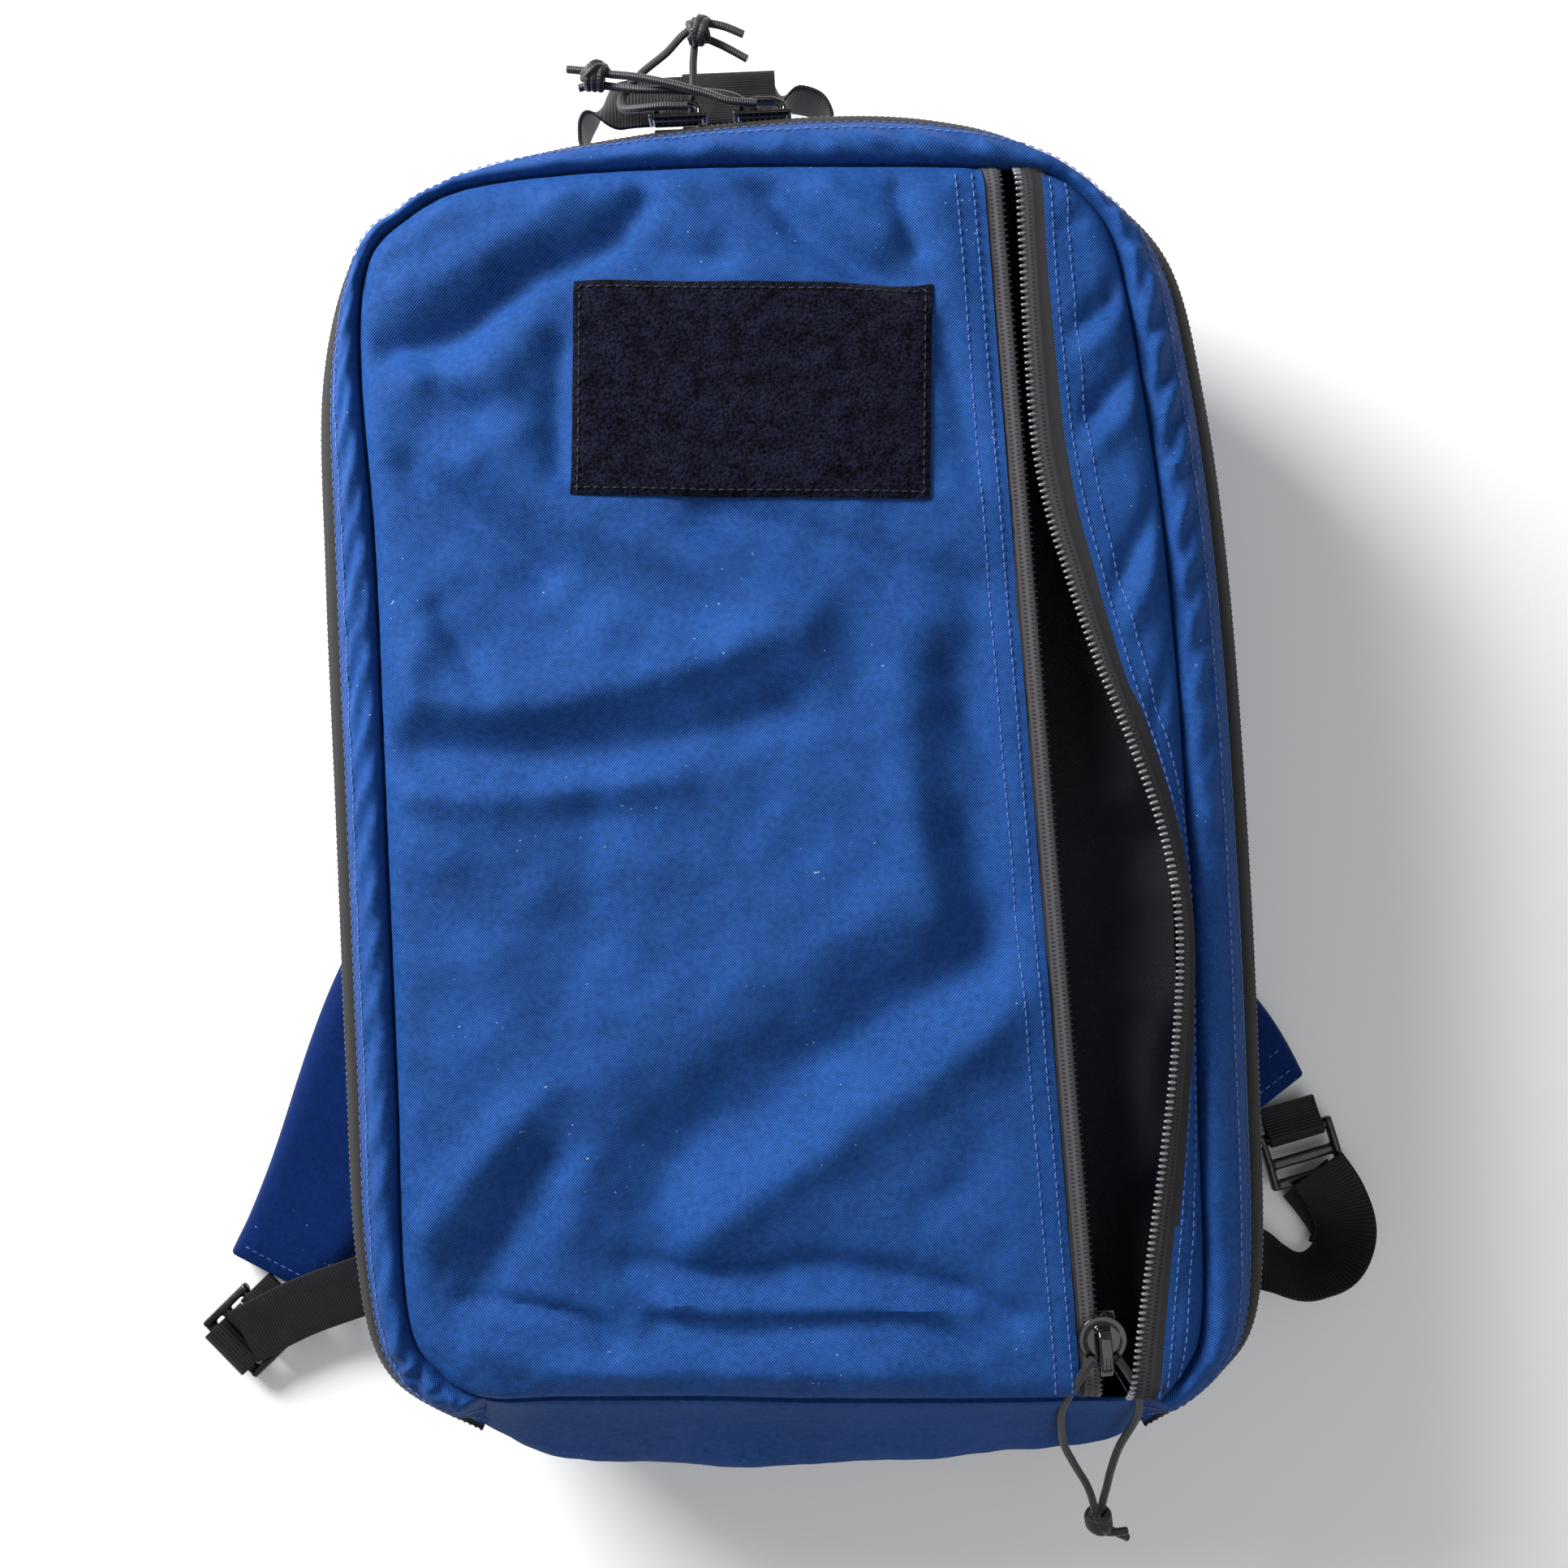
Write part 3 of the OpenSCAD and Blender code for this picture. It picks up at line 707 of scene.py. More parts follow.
def woven(name, low, high, pitch, base, rough=0.6, sheen=0.25, lint=0.0, specular=0.35):
    """Plain weave: threads stand up in offset rows, their crests lighter as a painted highlight, over
    gaps darker as painted shade.
    """
    p = Paint(name, base, rough, specular, sheen)
    u, v = p.cloth()
    stray = p.times(p.less(p.noise(6), 0.5), 0.5)
    rows = p.times(p.wave(p.plus(u, stray), pitch), p.wave(p.less(v, stray), pitch))
    height = p.plus(p.times(rows, 0.5), 0.5)
    # The colour follows the threads' height: a painted highlight on each crest and painted shade in the
    # gaps, varied at random from thread to thread.
    crest_light_and_tone = p.times(height, p.plus(p.noise(2.2), 0.5), clamp=True)
    base_colour = p.mix(crest_light_and_tone, colour(*low), colour(*high))
    faded = p.between(p.noise(38, 3), 0.3, 0.75)
    base_colour = p.mix(p.times(faded, 0.16), base_colour, colour(*high))
    if lint:
        specks = p.between(p.noise(1.2, 0), 0.835, 0.85)
        where = p.between(p.noise(40, 1), 0.55, 0.66)
        amount = p.times(p.times(specks, where), lint)
        base_colour = p.mix(amount, base_colour, colour(190, 195, 205))
    return p.surface(base_colour, height, 0.25, 0.8)


def ribbed(name, low, high, pitch, base, rough=0.55, sheen=0.04):
    """Webbing: close ribs across its length, each of two twisted rows."""
    p = Paint(name, base, rough, 0.22, sheen)
    u, v = p.cloth()
    ribs = p.wave(u, pitch)
    cross = p.wave(p.plus(v, p.times(ribs, 0.2)), pitch * 0.9)
    height = p.plus(p.times(ribs, 0.36), p.times(cross, 0.14))
    height = p.plus(height, 0.5)
    # Rib crests are painted lighter, toward the high colour: a painted highlight, varied at random
    # along the strip.
    rib_highlight_and_tone = p.times(height, p.plus(p.noise(9, 3), 0.45), clamp=True)
    return p.surface(p.mix(rib_highlight_and_tone, colour(*low), colour(*high)), height, 0.35, 0.7)


def taped(name, near, far):
    """Zipper tape: fine knit, with two rows of dark stitches that hold the teeth."""
    p = Paint(name, near, 0.7, 0.15, 0.05)
    u, v = p.cloth()
    knit = p.times(p.wave(p.plus(u, v), 0.95), p.wave(p.less(u, v), 0.95))
    body = p.mix(p.between(v, 5.2, 6.0), colour(*near), colour(*far))
    shade_of = p.plus(p.times(knit, 0.25), 0.3)
    body = p.mix(p.times(shade_of, p.noise(3, 3)), body, colour(18, 18, 20))
    fleck = 0.0
    for at in (1.7, 3.9):
        row = p.less(1.0, p.maths("DIVIDE", p.maths("ABSOLUTE", p.less(v, at)), 0.95))
        beat = p.between(p.wave(p.plus(u, at), 1.5), -0.3, 0.5)
        fleck = p.plus(fleck, p.times(p.maths("MAXIMUM", row, 0.0), beat), clamp=True)
    body = p.mix(p.times(fleck, 0.85), body, colour(10, 10, 11))
    height = p.less(p.plus(p.times(knit, 0.25), 0.5), fleck)
    return p.surface(body, height, 0.2, 0.6)


def napped(name, low, high, base):
    """Loop fabric: a dense, uneven nap."""
    p = Paint(name, base, 0.9, 0.05, 0.06)
    fluff = p.times(p.noise(1.1, 4), p.plus(p.noise(7, 2), 0.45))
    share = p.between(fluff, 0.25, 0.72)
    return p.surface(p.mix(share, colour(*low), colour(*high)), fluff, 1.3, 0.9)


def holed(name, low, high, base):
    """Spacer mesh: rows of small open cells."""
    p = Paint(name, base, 0.7, 0.3, 0.3)
    u, v = p.cloth()
    cells = p.times(p.wave(u, 3.4), p.wave(v, 2.6))
    open_part = p.between(cells, 0.1, 0.6)
    body = p.mix(open_part, colour(*high), colour(*low))
    return p.surface(body, p.less(1.0, open_part), 0.8, 0.9)


def moulded_look(name, base, rough, coat=0.0, specular=0.5):
    """Plastic or coated metal, with faint scuffs."""
    p = Paint(name, base, rough, specular, 0.0, coat)
    scuffs = p.between(p.noise(2.5, 5), 0.45, 0.8)
    lighter = tuple(min(255, c + 22) for c in base)
    body = p.mix(p.times(scuffs, 0.4), colour(*base), colour(*lighter))
    roughness = p.plus(p.times(scuffs, 0.22), rough)
    return p.surface(body, p.noise(1.2, 4), 0.05, 0.25, roughness)


def braided(name, low, high, base):
    """Cord cover: two sets of threads that cross round the cord."""
    p = Paint(name, base, 0.5, 0.45, 0.2)
    u, v = p.cloth()
    pitch, strands = 1.9, 3
    climb = pitch * strands / (math.pi * CORD_D)
    a = p.wave(p.plus(u, p.times(v, climb)), pitch)
    b = p.wave(p.less(u, p.times(v, climb)), pitch)
    height = p.plus(p.times(p.times(a, b), 0.5), 0.5)
    return p.surface(p.mix(height, colour(*low), colour(*high)), height, 0.3, 0.7)


CLOTH = woven(
    "blue_cloth", (0, 4, 27), (46, 97, 177), 1.05, (26, 62, 126), sheen=0.0, lint=0.6, specular=0.06
)
# A darker copy of the blue cloth for the straps: painted shade, for the shade that they lie in under
# the bag.
STRAP_CLOTH_PAINTED_SHADE = woven(
    "strap_cloth_painted_shade", (0, 3, 22), (13, 50, 118), 1.05, (8, 32, 84), sheen=0.0, lint=0.4, specular=0.06
)
LINING = woven(
    "black_lining", (2, 2, 6), (22, 22, 36), 0.7, (8, 8, 15), rough=0.42, sheen=0.05, specular=0.3
)
TAPE_LEFT = taped("zip_tape_light", (88, 86, 90), (46, 45, 48))
TAPE_RIGHT = taped("zip_tape_dark", (58, 56, 60), (44, 43, 46))
TAPE_MAIN = taped("zip_tape_main", (46, 44, 45), (40, 39, 40))
TEETH = moulded_look("zip_teeth", (30, 30, 32), 0.14, 1.0, 1.0)
# A much lighter copy of the teeth for the open lip's row: a painted glint, for light caught on them.
TEETH_PAINTED_GLINT = moulded_look("zip_teeth_painted_glint", (118, 118, 122), 0.1, 1.0, 1.0)
WEBBING = ribbed("black_webbing", (2, 2, 3), (34, 34, 37), 1.3, (20, 20, 22))
ELASTIC = ribbed("black_elastic", (4, 4, 5), (30, 30, 33), 2.1, (17, 17, 19))
LOOP = napped("loop_fabric", (0, 0, 3), (27, 29, 47), (14, 14, 23))
MESH = holed("black_mesh", (3, 3, 4), (32, 32, 35), (20, 20, 22))
METAL = moulded_look("slider_metal", (9, 9, 10), 0.2, 0.7)
BUCKLE = moulded_look("buckle_plastic", (10, 10, 11), 0.32, 0.2)
CORD = braided("shock_cord", (8, 8, 9), (46, 46, 51), (26, 26, 29))
PLASTIC = moulded_look("white_plastic", (214, 216, 214), 0.4)
THREAD = woven("blue_thread", (44, 72, 142), (98, 128, 196), 1.2, (72, 100, 170), sheen=0.2)
BLACK_THREAD = woven("black_thread", (5, 5, 6), (34, 34, 37), 1.2, (18, 18, 20))
FLOOR = moulded_look("floor", (250, 250, 250), 0.9, 0.0, 0.1)


def dress(obj, material, body=None, nodes=()):
    """Gives a piece its finish and its body, and hides the CAD nodes that it stands for."""
    obj.data.materials.clear()
    obj.data.materials.append(material)
    if body:
        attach(obj, body)
    if nodes:
        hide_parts(*nodes)
    return obj


for piece in cord_pieces:
    dress(piece, CORD)

bpy.ops.mesh.primitive_plane_add(size=FLOOR_SIZE, location=(0, 0, cad_low.z - FLOOR_GAP))
floor = bpy.context.object
floor.name = "floor"
dress(floor, FLOOR)

# ---- The front panel ----

CROWN = 9.5
CROWN_RUN = 12.0
CLOTH_T = 1.2

# Small unevenness all over the front: height, size of the lumps, and seed
FRONT_WOBBLES = [(1.2, 34, 0.0), (0.8, 16, 3.0), (0.3, 8, 5.0)]
# Folds pressed into the front: height (less than zero for a valley), half width, and its line
FOLDS = [
    (-6.0, 6.5, [(-138, 162), (-112, 167), (-84, 188), (-64, 194), (-44, 211)]),
    (4.0, 9, [(-128, 182), (-98, 196), (-72, 212)]),
    (3.5, 8, [(-126, 150), (-104, 152), (-84, 168)]),
    (4.0, 9, [(-96, 148), (-90, 134)]),
    (-4.0, 6, [(-76, 160), (-78, 118)]),
    (-3.0, 5, [(-118, 148), (-106, 138)]),
    (-5.0, 7, [(-130, 120), (-108, 100), (-85, 80)]),
    (5.5, 11, [(-104, 122), (-64, 95), (-32, 82), (8, 62)]),
    (3.0, 9, [(-60, 62), (-28, 56), (4, 54)]),
    (-3.5, 7, [(-27, 102), (20, 88), (69, 69)]),
    (-3.5, 5, [(-122, 69), (-114, 54), (-107, 40)]),
    (3.5, 9, [(-132, 48), (-126, 60)]),
    (3.0, 7, [(-130, 37), (-90, 34), (-50, 41), (-20, 48)]),
    (-5.0, 9, [(-138, 21), (-88, 17), (-35, 22), (0, 30)]),
    (4.5, 13, [(-104, 40), (-50, 44), (-4, 54)]),
    (3.5, 7, [(-134, 4), (-96, 2), (-40, 8)]),
    (3.5, 9, [(-131, -14), (-126, -20)]),
    (-2.5, 12, [(-72, -10), (-76, -50)]),
    (2.5, 16, [(-110, -55), (-104, -80)]),
    (-5.0, 15, [(74, 64), (66, 26), (72, -6), (64, -34), (70, -56)]),
    (3.5, 12, [(50, 54), (36, 20), (42, -10), (50, -44)]),
    (-3.5, 7, [(58, 40), (74, 6)]),
    (-3.5, 7, [(60, -18), (78, -46)]),
    (3.0, 9, [(46, 30), (44, -20), (50, -46)]),
    (-7.0, 15, [(68, -56), (31, -82), (-11, -104), (-50, -130), (-50, -152)]),
    (3.5, 16, [(30, -46), (-30, -76), (-70, -106)]),
    (6.5, 12, [(80, -78), (21, -116), (-38, -154)]),
    (-3.0, 10, [(60, -136), (40, -150)]),
    (5.5, 10, [(-135, -150), (-112, -124), (-92, -103)]),
    (-6.0, 8, [(-116, -167), (-104, -148), (-94, -128)]),
    (3.0, 9, [(-84, -150), (-76, -128)]),
    (-5.0, 6.5, [(-64, -166), (-30, -172), (4, -169), (40, -176), (72, -190)]),
    (3.0, 3.5, [(-50, -180), (20, -184), (56, -186)]),
    (-3.0, 4.5, [(-56, -187), (-20, -192), (14, -189), (44, -194), (62, -208)]),
    (-3.5, 3.5, [(-124, -175), (-84, -183), (-71, -194)]),
    (3.5, 7, [(-118, -192), (-90, -200), (-40, -204), (60, -207)]),
    (-5.0, 6, [(-2, 217), (17, 194), (50, 176)]),
    (3.5, 7, [(22, 212), (40, 196)]),
    (-3.0, 4, [(46, 212), (52, 190)]),
    (4.0, 8, [(62, 204), (72, 165)]),
    (-5.0, 6, [(60, 160), (66, 136), (71, 112)]),
    (2.5, 8, [(-34, 214), (-24, 200)]),
    (-2.5, 6, [(-50, 196), (-20, 190)]),
]
# The side panel's folds, in the same way
SIDE_FOLDS = [
    (-4.0, 4.5, [(104, 158), (120, 170), (132, 186)]),
    (3.0, 5, [(108, 150), (122, 160), (136, 174)]),
    (-4.0, 4.5, [(100, 122), (116, 134), (130, 150)]),
    (3.0, 5, [(106, 112), (120, 124), (136, 140)]),
    (-3.5, 4.5, [(112, 62), (122, 76), (134, 98)]),
    (3.0, 5, [(118, 52), (128, 66), (138, 86)]),
    (-2.5, 4, [(104, 196), (118, 204), (126, 214)]),
    (-2.5, 4, [(126, 16), (134, 32), (140, 46)]),
]
PATCH_AT = (-8.0, 142.5)
PATCH_SIZE = (127.0, 76.0)
PATCH_TURN = math.radians(-3)

SEAM_WHOLE = np.concatenate([SEAM_LOOP, SEAM_LOOP[:1]])


def crown(d):
    """How far the front stands above its seam, at a distance from it."""
    return CROWN * np.sqrt(1 - (1 - np.clip(d / CROWN_RUN, 0, 1)) ** 2)


def patch_axes(points):
    """A point's place on the loop patch, from its middle."""
    d = np.asarray(points, float)[..., :2] - PATCH_AT
    c, s = math.cos(PATCH_TURN), math.sin(PATCH_TURN)
    return np.stack([d[..., 0] * c + d[..., 1] * s, -d[..., 0] * s + d[..., 1] * c], axis=-1)


def front_height(points):
    """The height of the front's cloth, left of its zipper."""
    d = to_line(points, SEAM_WHOLE)
    folds = np.zeros(np.shape(points)[:-1])
    for height, width, line in FOLDS:
        away = to_line(points, spline(line, 5)) / width
        folds += height * np.exp(-np.abs(away) ** 1.8)
    folds += sum(height * wobble(points, size, seed) for height, size, seed in FRONT_WOBBLES)
    off_patch = np.abs(patch_axes(points)) - np.array(PATCH_SIZE) / 2
    under = 1 - smooth_step((off_patch.max(axis=-1) + 8) / 14)
    # Folds are weaker under the stiff patch, and beside the zipper's tape
    folds *= 1 - 0.6 * under
    to_zip = (zip_x(points[..., 1]) - TAPE_W) - points[..., 0]
    folds *= 0.2 + 0.8 * smooth_step(to_zip / 26)
    # The sewing gathers the cloth a little along the seam and the zipper, and its edge is turned in
    tucks = 0.55 * wobble(points, 6.5, 7.0) * bell(d - 7, 6)
    tucks += 0.22 * wobble(points, 4.0, 9.0) * smooth_step((16 - to_zip) / 8)
    roll = -0.9 * bell(to_zip, 1.3)
    return SEAM_Z + crown(d) + folds * smooth_step(d / 14) + tucks + roll


def coons(left, right, bottom, top):
    """A grid between four lines: left and right run up, bottom and top run to the right."""
    n, m = len(left), len(bottom)
    u = np.linspace(0, 1, n)[:, None, None]
    v = np.linspace(0, 1, m)[None, :, None]
    ruled = (1 - v) * left[:, None] + v * right[:, None] + (1 - u) * bottom[None] + u * top[None]
    corners = (
        (1 - u) * (1 - v) * bottom[0] + (1 - u) * v * bottom[-1] + u * (1 - v) * top[0]
        + u * v * top[-1]
    )
    return ruled - corners


def plan_patch(loop, corners, step):
    """Fills an outline. corners are four of its numbered points, clockwise from the bottom left."""
    a, b, c, d = corners
    left, top = piece_of(loop, a, b), piece_of(loop, b, c)
    right, bottom = piece_of(loop, c, d)[::-1], piece_of(loop, d, len(RIM) + a)[::-1]
    n = int(max(along(left)[-1], along(right)[-1]) / step) + 1
    m = int(max(along(top)[-1], along(bottom)[-1]) / step) + 1
    return coons(evenly(left, n), evenly(right, n), evenly(bottom, m), evenly(top, m))


def with_height(plan, z):
    """Points in plan with their heights."""
    return np.concatenate([plan, np.broadcast_to(z, plan.shape[:-1])[..., None]], axis=-1)


left_seam, top_seam = piece_of(SEAM_LOOP, 1, 8), piece_of(SEAM_LOOP, 8, ZIP_CORNER)
foot_seam = piece_of(SEAM_LOOP, ZIP_FOOT, len(RIM) + 1)[::-1]
PANEL_GRID = (200, 104)
plan = coons(
    evenly(left_seam, PANEL_GRID[0]), np.linspace(foot_seam[-1], top_seam[-1], PANEL_GRID[0]),
    evenly(foot_seam, PANEL_GRID[1]), evenly(top_seam, PANEL_GRID[1]),
)
front_grid = with_height(plan, front_height(plan))
front_panel = shell("front_panel_cloth", front_grid, CLOTH_T, uv=plan, flip=True)
dress(front_panel, CLOTH, "lid", ["front_panel"])

# The two rows of stitches on each side of the front zipper: how far from the cloth's edge
STITCH_ROWS = (2.6, 8.6)
STITCH_LIFT = 0.05
zip_ys = np.arange(ZIP_BOTTOM - 10, ZIP_TOP + 2, 2.0)
left_rows = []
for row in STITCH_ROWS:
    points = np.stack([zip_x(zip_ys) - TAPE_W - row, zip_ys], axis=-1)
    line = with_height(points, front_height(points) + STITCH_LIFT)
    left_rows.append(stitches(f"zip_stitches_left_{row:.0f}", line, UP))
dress(joined("front_zip_stitches_left", left_rows), THREAD, "lid")

# ---- The loop patch ----

PATCH_THICK = 1.8
BORDER_INSET = 2.4


def on_patch(u, v):
    """Places given from the patch's middle, along its own edges, as places on the bag."""
    c, s = math.cos(PATCH_TURN), math.sin(PATCH_TURN)
    return np.stack([PATCH_AT[0] + u * c - v * s, PATCH_AT[1] + u * s + v * c], axis=-1)


half_u, half_v = PATCH_SIZE[0] / 2, PATCH_SIZE[1] / 2
patch_uv = crossed(np.linspace(-half_u, half_u, 90), np.linspace(-half_v, half_v, 56))
u, v = patch_uv[..., 0], patch_uv[..., 1]
patch_plan = on_patch(u, v)
from_edge = np.minimum(half_u - np.abs(u), half_v - np.abs(v))
diagonal = np.minimum(
    np.abs(u / PATCH_SIZE[0] - v / PATCH_SIZE[1]), np.abs(u / PATCH_SIZE[0] + v / PATCH_SIZE[1])
) * PATCH_SIZE[1]
# It is thin at its edge, and has shallow grooves from corner to corner and under its stitches
patch_z = front_height(patch_plan) + 2.0 - 0.9 * bell(from_edge, 1.4)
patch_z -= 0.35 * bell(diagonal, 1.4) + 0.3 * bell(from_edge - 3.2, 0.8)
patch = shell("loop_patch_cloth", with_height(patch_plan, patch_z), PATCH_THICK, uv=patch_uv)
dress(patch, LOOP, "lid", ["loop_patch"])

corner = np.array([half_u - BORDER_INSET, half_v - BORDER_INSET])
border = spaced(np.array([(-1, -1), (1, -1), (1, 1), (-1, 1), (-1, -1)]) * corner, STITCH_PITCH)
border_plan = on_patch(*border.T)
border_line = with_height(border_plan, front_height(border_plan) + PATCH_THICK + STITCH_LIFT)
dress(stitches("loop_patch_stitches", border_line, UP), BLACK_THREAD, "lid")

# ---- The front zipper: left side, then the open lip on its right ----

# The lip closes in two lengths, which meet where both move alike: where each starts and ends, in Y
LIP_UPPER = (120.0, -55.0)
LIP_LOWER = (-297.0, -24.0)
LIP_SPLIT = -42.9
# The side panel's edge: its height at the closed ends, and how much higher the open lip holds it
SIDE_EDGE_Z = 125.5
SIDE_EDGE_RISE = 5.0
# The slit between the teeth where the lip is closed, as (y, width)
SLIT = [(-230, 0.3), (38, 0.4), (75, 1.9), (120, 1), (165, 2), (221, 4)]
# The left tape's section, from its sewn edge to its teeth: across from the zipper's line, and up
LEFT_SECTION = [
    (-12.2, -2.0), (-9.4, -1.9), (-7.6, -0.9), (-6.2, -1.1), (-5.2, -1.25), (-4, -0.85),
    (-2.8, -0.9), (-1.8, -1.3), (-1.4, -1.9),
]


def lip_share(y):
    """How far the lip stands open at a height: 0 is closed, and 1 is fully open."""
    upper = (LIP_UPPER[0] - y) / (LIP_UPPER[0] - LIP_UPPER[1])
    lower = (y - LIP_LOWER[0]) / (LIP_LOWER[1] - LIP_LOWER[0])
    return np.clip(np.minimum(upper, lower), 0, 1)


def lip_x(y):
    """The open lip's edge, with its two lengths eased together where they meet."""
    eased = sum(smooth_step(lip_share(y + shift)) for shift in (-24, -12, 0, 12, 24)) / 5
    return zip_x(y) + GAP_MAX * eased + np.interp(y, *zip(*SLIT))


def base_z(x, y):
    """The front's height beside its zipper, without folds."""
    points = np.stack([x, y], axis=-1)
    return SEAM_Z + crown(to_line(points, SEAM_WHOLE))


def tape_out(y):
    """Width in plan of the right tape, which stands on edge where the lip is open."""
    return 12.0 - 5.6 * smooth_step(lip_share(y)) - 2.4 * smooth_step((y - 110) / 90)


def tooth_row(name, line, side, length, pitch=2.3, wide=1.3, high=1.9):
    """Zipper teeth across a line, as small rounded bars. side points along each tooth."""
    at = spaced(line, pitch)
    ahead = unit(np.gradient(at, axis=0))
    side = np.broadcast_to(np.asarray(side, float), at.shape)
    side = unit(side - ahead * np.sum(side * ahead, axis=1, keepdims=True))
    up = np.cross(ahead, side)
    up = up * np.sign(up[:, 2:3] + 1e-9)
    return scatter(name, *capsule(length, wide, high, 8, 5), at, np.stack([side, ahead, up], axis=1))


left_ys = np.arange(-221.0, 221.1, 2.0)
face = base_z(zip_x(left_ys) - 5, left_ys)
left_lines = []
for dx, dz in LEFT_SECTION:
    uneven = 0.09 * wobble(np.stack([left_ys / 9, left_ys * 0 + dx], axis=-1), 2.0)
    left_lines.append(np.stack([zip_x(left_ys) + dx, left_ys, face + dz + uneven], axis=-1))
left_uv = crossed(left_ys, LEFT_SECTION[-1][0] - np.array(LEFT_SECTION)[:, 0])
left_tape = np.stack(left_lines, axis=1)
left_tape = shell("front_zip_tape_left_cloth", left_tape, 0.9, uv=left_uv, flip=True)
dress(left_tape, TAPE_LEFT, "lid", ["front_zip_tape_left"])
line = np.stack([zip_x(left_ys) - 1.9, left_ys, face - 2.9], axis=-1)
left_teeth = tooth_row("front_zip_teeth_left_row", line, (1, 0, 0), 3.8)
dress(left_teeth, TEETH, "lid", ["front_zip_teeth_left"])


def lip_line(ys, drop):
    """A line along the open lip's teeth, down from the lip's top."""
    z = base_z(zip_x(ys), ys) + LIP_RISE * smooth_step(lip_share(ys))
    return np.stack([lip_x(ys) + 1.5, ys, z - drop], axis=-1)


def tape_edge(ys):
    """The right tape's sewn edge, which is also the side panel's edge."""
    x = lip_x(ys) + tape_out(ys)
    open_z = SIDE_EDGE_Z + SIDE_EDGE_RISE * lip_share(ys)
    return np.stack([x, ys, np.minimum(open_z, base_z(x, ys) + 0.5 + 20 * lip_share(ys))], axis=-1)


def bead(s):
    """How far the right tape stands out, from its teeth at 0 to its sewn edge at 1."""
    if s < 0.59:
        return 0.9 * math.sin(math.pi * min(1, s * 1.7))
    return 0.2 * math.sin(math.pi * s)


for part, (low_y, high_y), (start_y, end_y) in (
    ("upper", (LIP_SPLIT, 219.5), LIP_UPPER), ("lower", (-221, LIP_SPLIT), LIP_LOWER)
):
    ys = np.linspace(low_y, high_y, int((high_y - low_y) / 2))
    inner, outer = lip_line(ys, 1.7), tape_edge(ys)
    under_panel = outer + np.array([1.6, 0, -0.4])
    tape = np.stack(
        [inner + (under_panel - inner) * s + np.array([0, 0, bead(s)]) for s in np.linspace(0, 1, 9)],
        axis=1,
    )
    uv = crossed(ys, along(tape[len(ys) // 2]))
    cloth_part = shell(f"front_zip_tape_right_{part}", tape, 0.8, uv=uv, flip=True)
    dress(cloth_part, TAPE_RIGHT, None, ["front_zip_tape_right"])
    lean = unit(outer - inner).mean(axis=0)
    row = tooth_row(f"front_zip_teeth_right_{part}", lip_line(ys, 1.5), lean, 3.4)
    # These teeth take the lighter copy, which is a painted glint.
    dress(row, TEETH_PAINTED_GLINT, None, ["front_zip_teeth_right"])
    for obj in (cloth_part, row):
        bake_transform(obj)

# ---- The side panel, right of the zipper ----

# Where its corners lie on the seam's numbered points, clockwise from the top left
SIDE_TOP, SIDE_RIGHT, SIDE_FOOT, SIDE_BOTTOM = 14.0, 15.7, 21.7, 22.62
SIDE_ROWS, SIDE_COLUMNS = 200, 40
edge_ys = np.linspace(-218.6, 217.9, SIDE_ROWS)
edge = tape_edge(edge_ys)
seam_top = piece_of(SEAM_LOOP, SIDE_TOP, SIDE_RIGHT)
seam_right = piece_of(SEAM_LOOP, SIDE_RIGHT, SIDE_FOOT)[::-1]
seam_bottom = piece_of(SEAM_LOOP, SIDE_FOOT, SIDE_BOTTOM)[::-1]
climb = np.linspace(0, 1, SIDE_ROWS)[:, None]
left_side = edge[:, :2].copy()
left_side += (1 - climb) ** 8 * (seam_bottom[0] - left_side[0])
left_side += climb ** 8 * (seam_top[0] - left_side[-1])
side_plan = coons(
    left_side, evenly(seam_right, SIDE_ROWS),
    evenly(seam_bottom, SIDE_COLUMNS), evenly(seam_top, SIDE_COLUMNS),
)
x, y = side_plan[..., 0], side_plan[..., 1]
v = np.linspace(0, 1, SIDE_COLUMNS)[None, :]
d = to_line(side_plan, SEAM_WHOLE)
flat_z = SEAM_Z + crown(d)
lift = np.interp(y[:, :1], edge_ys, edge[:, 2]) - flat_z[:, :1]
side_z = flat_z + lift * (1 - v) ** 1.5
side_uv = np.stack([x - side_z, y], axis=-1)
ripple = 1.4 * np.sin((x * 0.8 + y) / 7.5) * smooth_step((y - 40) / 90)
ripple += 0.8 * wobble(side_plan, 17, 5.0)
for height, width, line in SIDE_FOLDS:
    ripple += height * bell(to_line(side_plan, spline(line, 5)), width)
steady = smooth_step((8 - np.abs(lift)) / 6 + 0.2)
side_z += ripple * smooth_step(d / 9) * smooth_step(v / 0.4) * steady
side_grid = with_height(side_plan, side_z)
side_panel = shell("side_panel_cloth", side_grid, CLOTH_T, uv=side_uv, flip=True)
dress(side_panel, CLOTH, None, ["side_panel"])

side_rows = []
for row in STITCH_ROWS:
    wide_enough = [cross for cross in side_grid[2:-2] if along(cross)[-1] > row + 3]
    line = np.array([value_at(row, along(cross), cross) for cross in wide_enough])
    side_rows.append(stitches(f"zip_stitches_right_{row:.0f}", line, (0.25, 0, 1), sink=-0.1))
side_stitches = joined("front_zip_stitches_right", side_rows)
dress(side_stitches, THREAD)
for obj in (side_panel, side_stitches):
    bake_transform(obj)

# ---- Bands round the bag ----


def offset_loop(loop, inward):
    """An outline moved in by some distance."""
    ahead = unit(np.roll(loop, -1, axis=0) - np.roll(loop, 1, axis=0))
    return loop + np.stack([ahead[:, 1], -ahead[:, 0]], axis=1) * inward


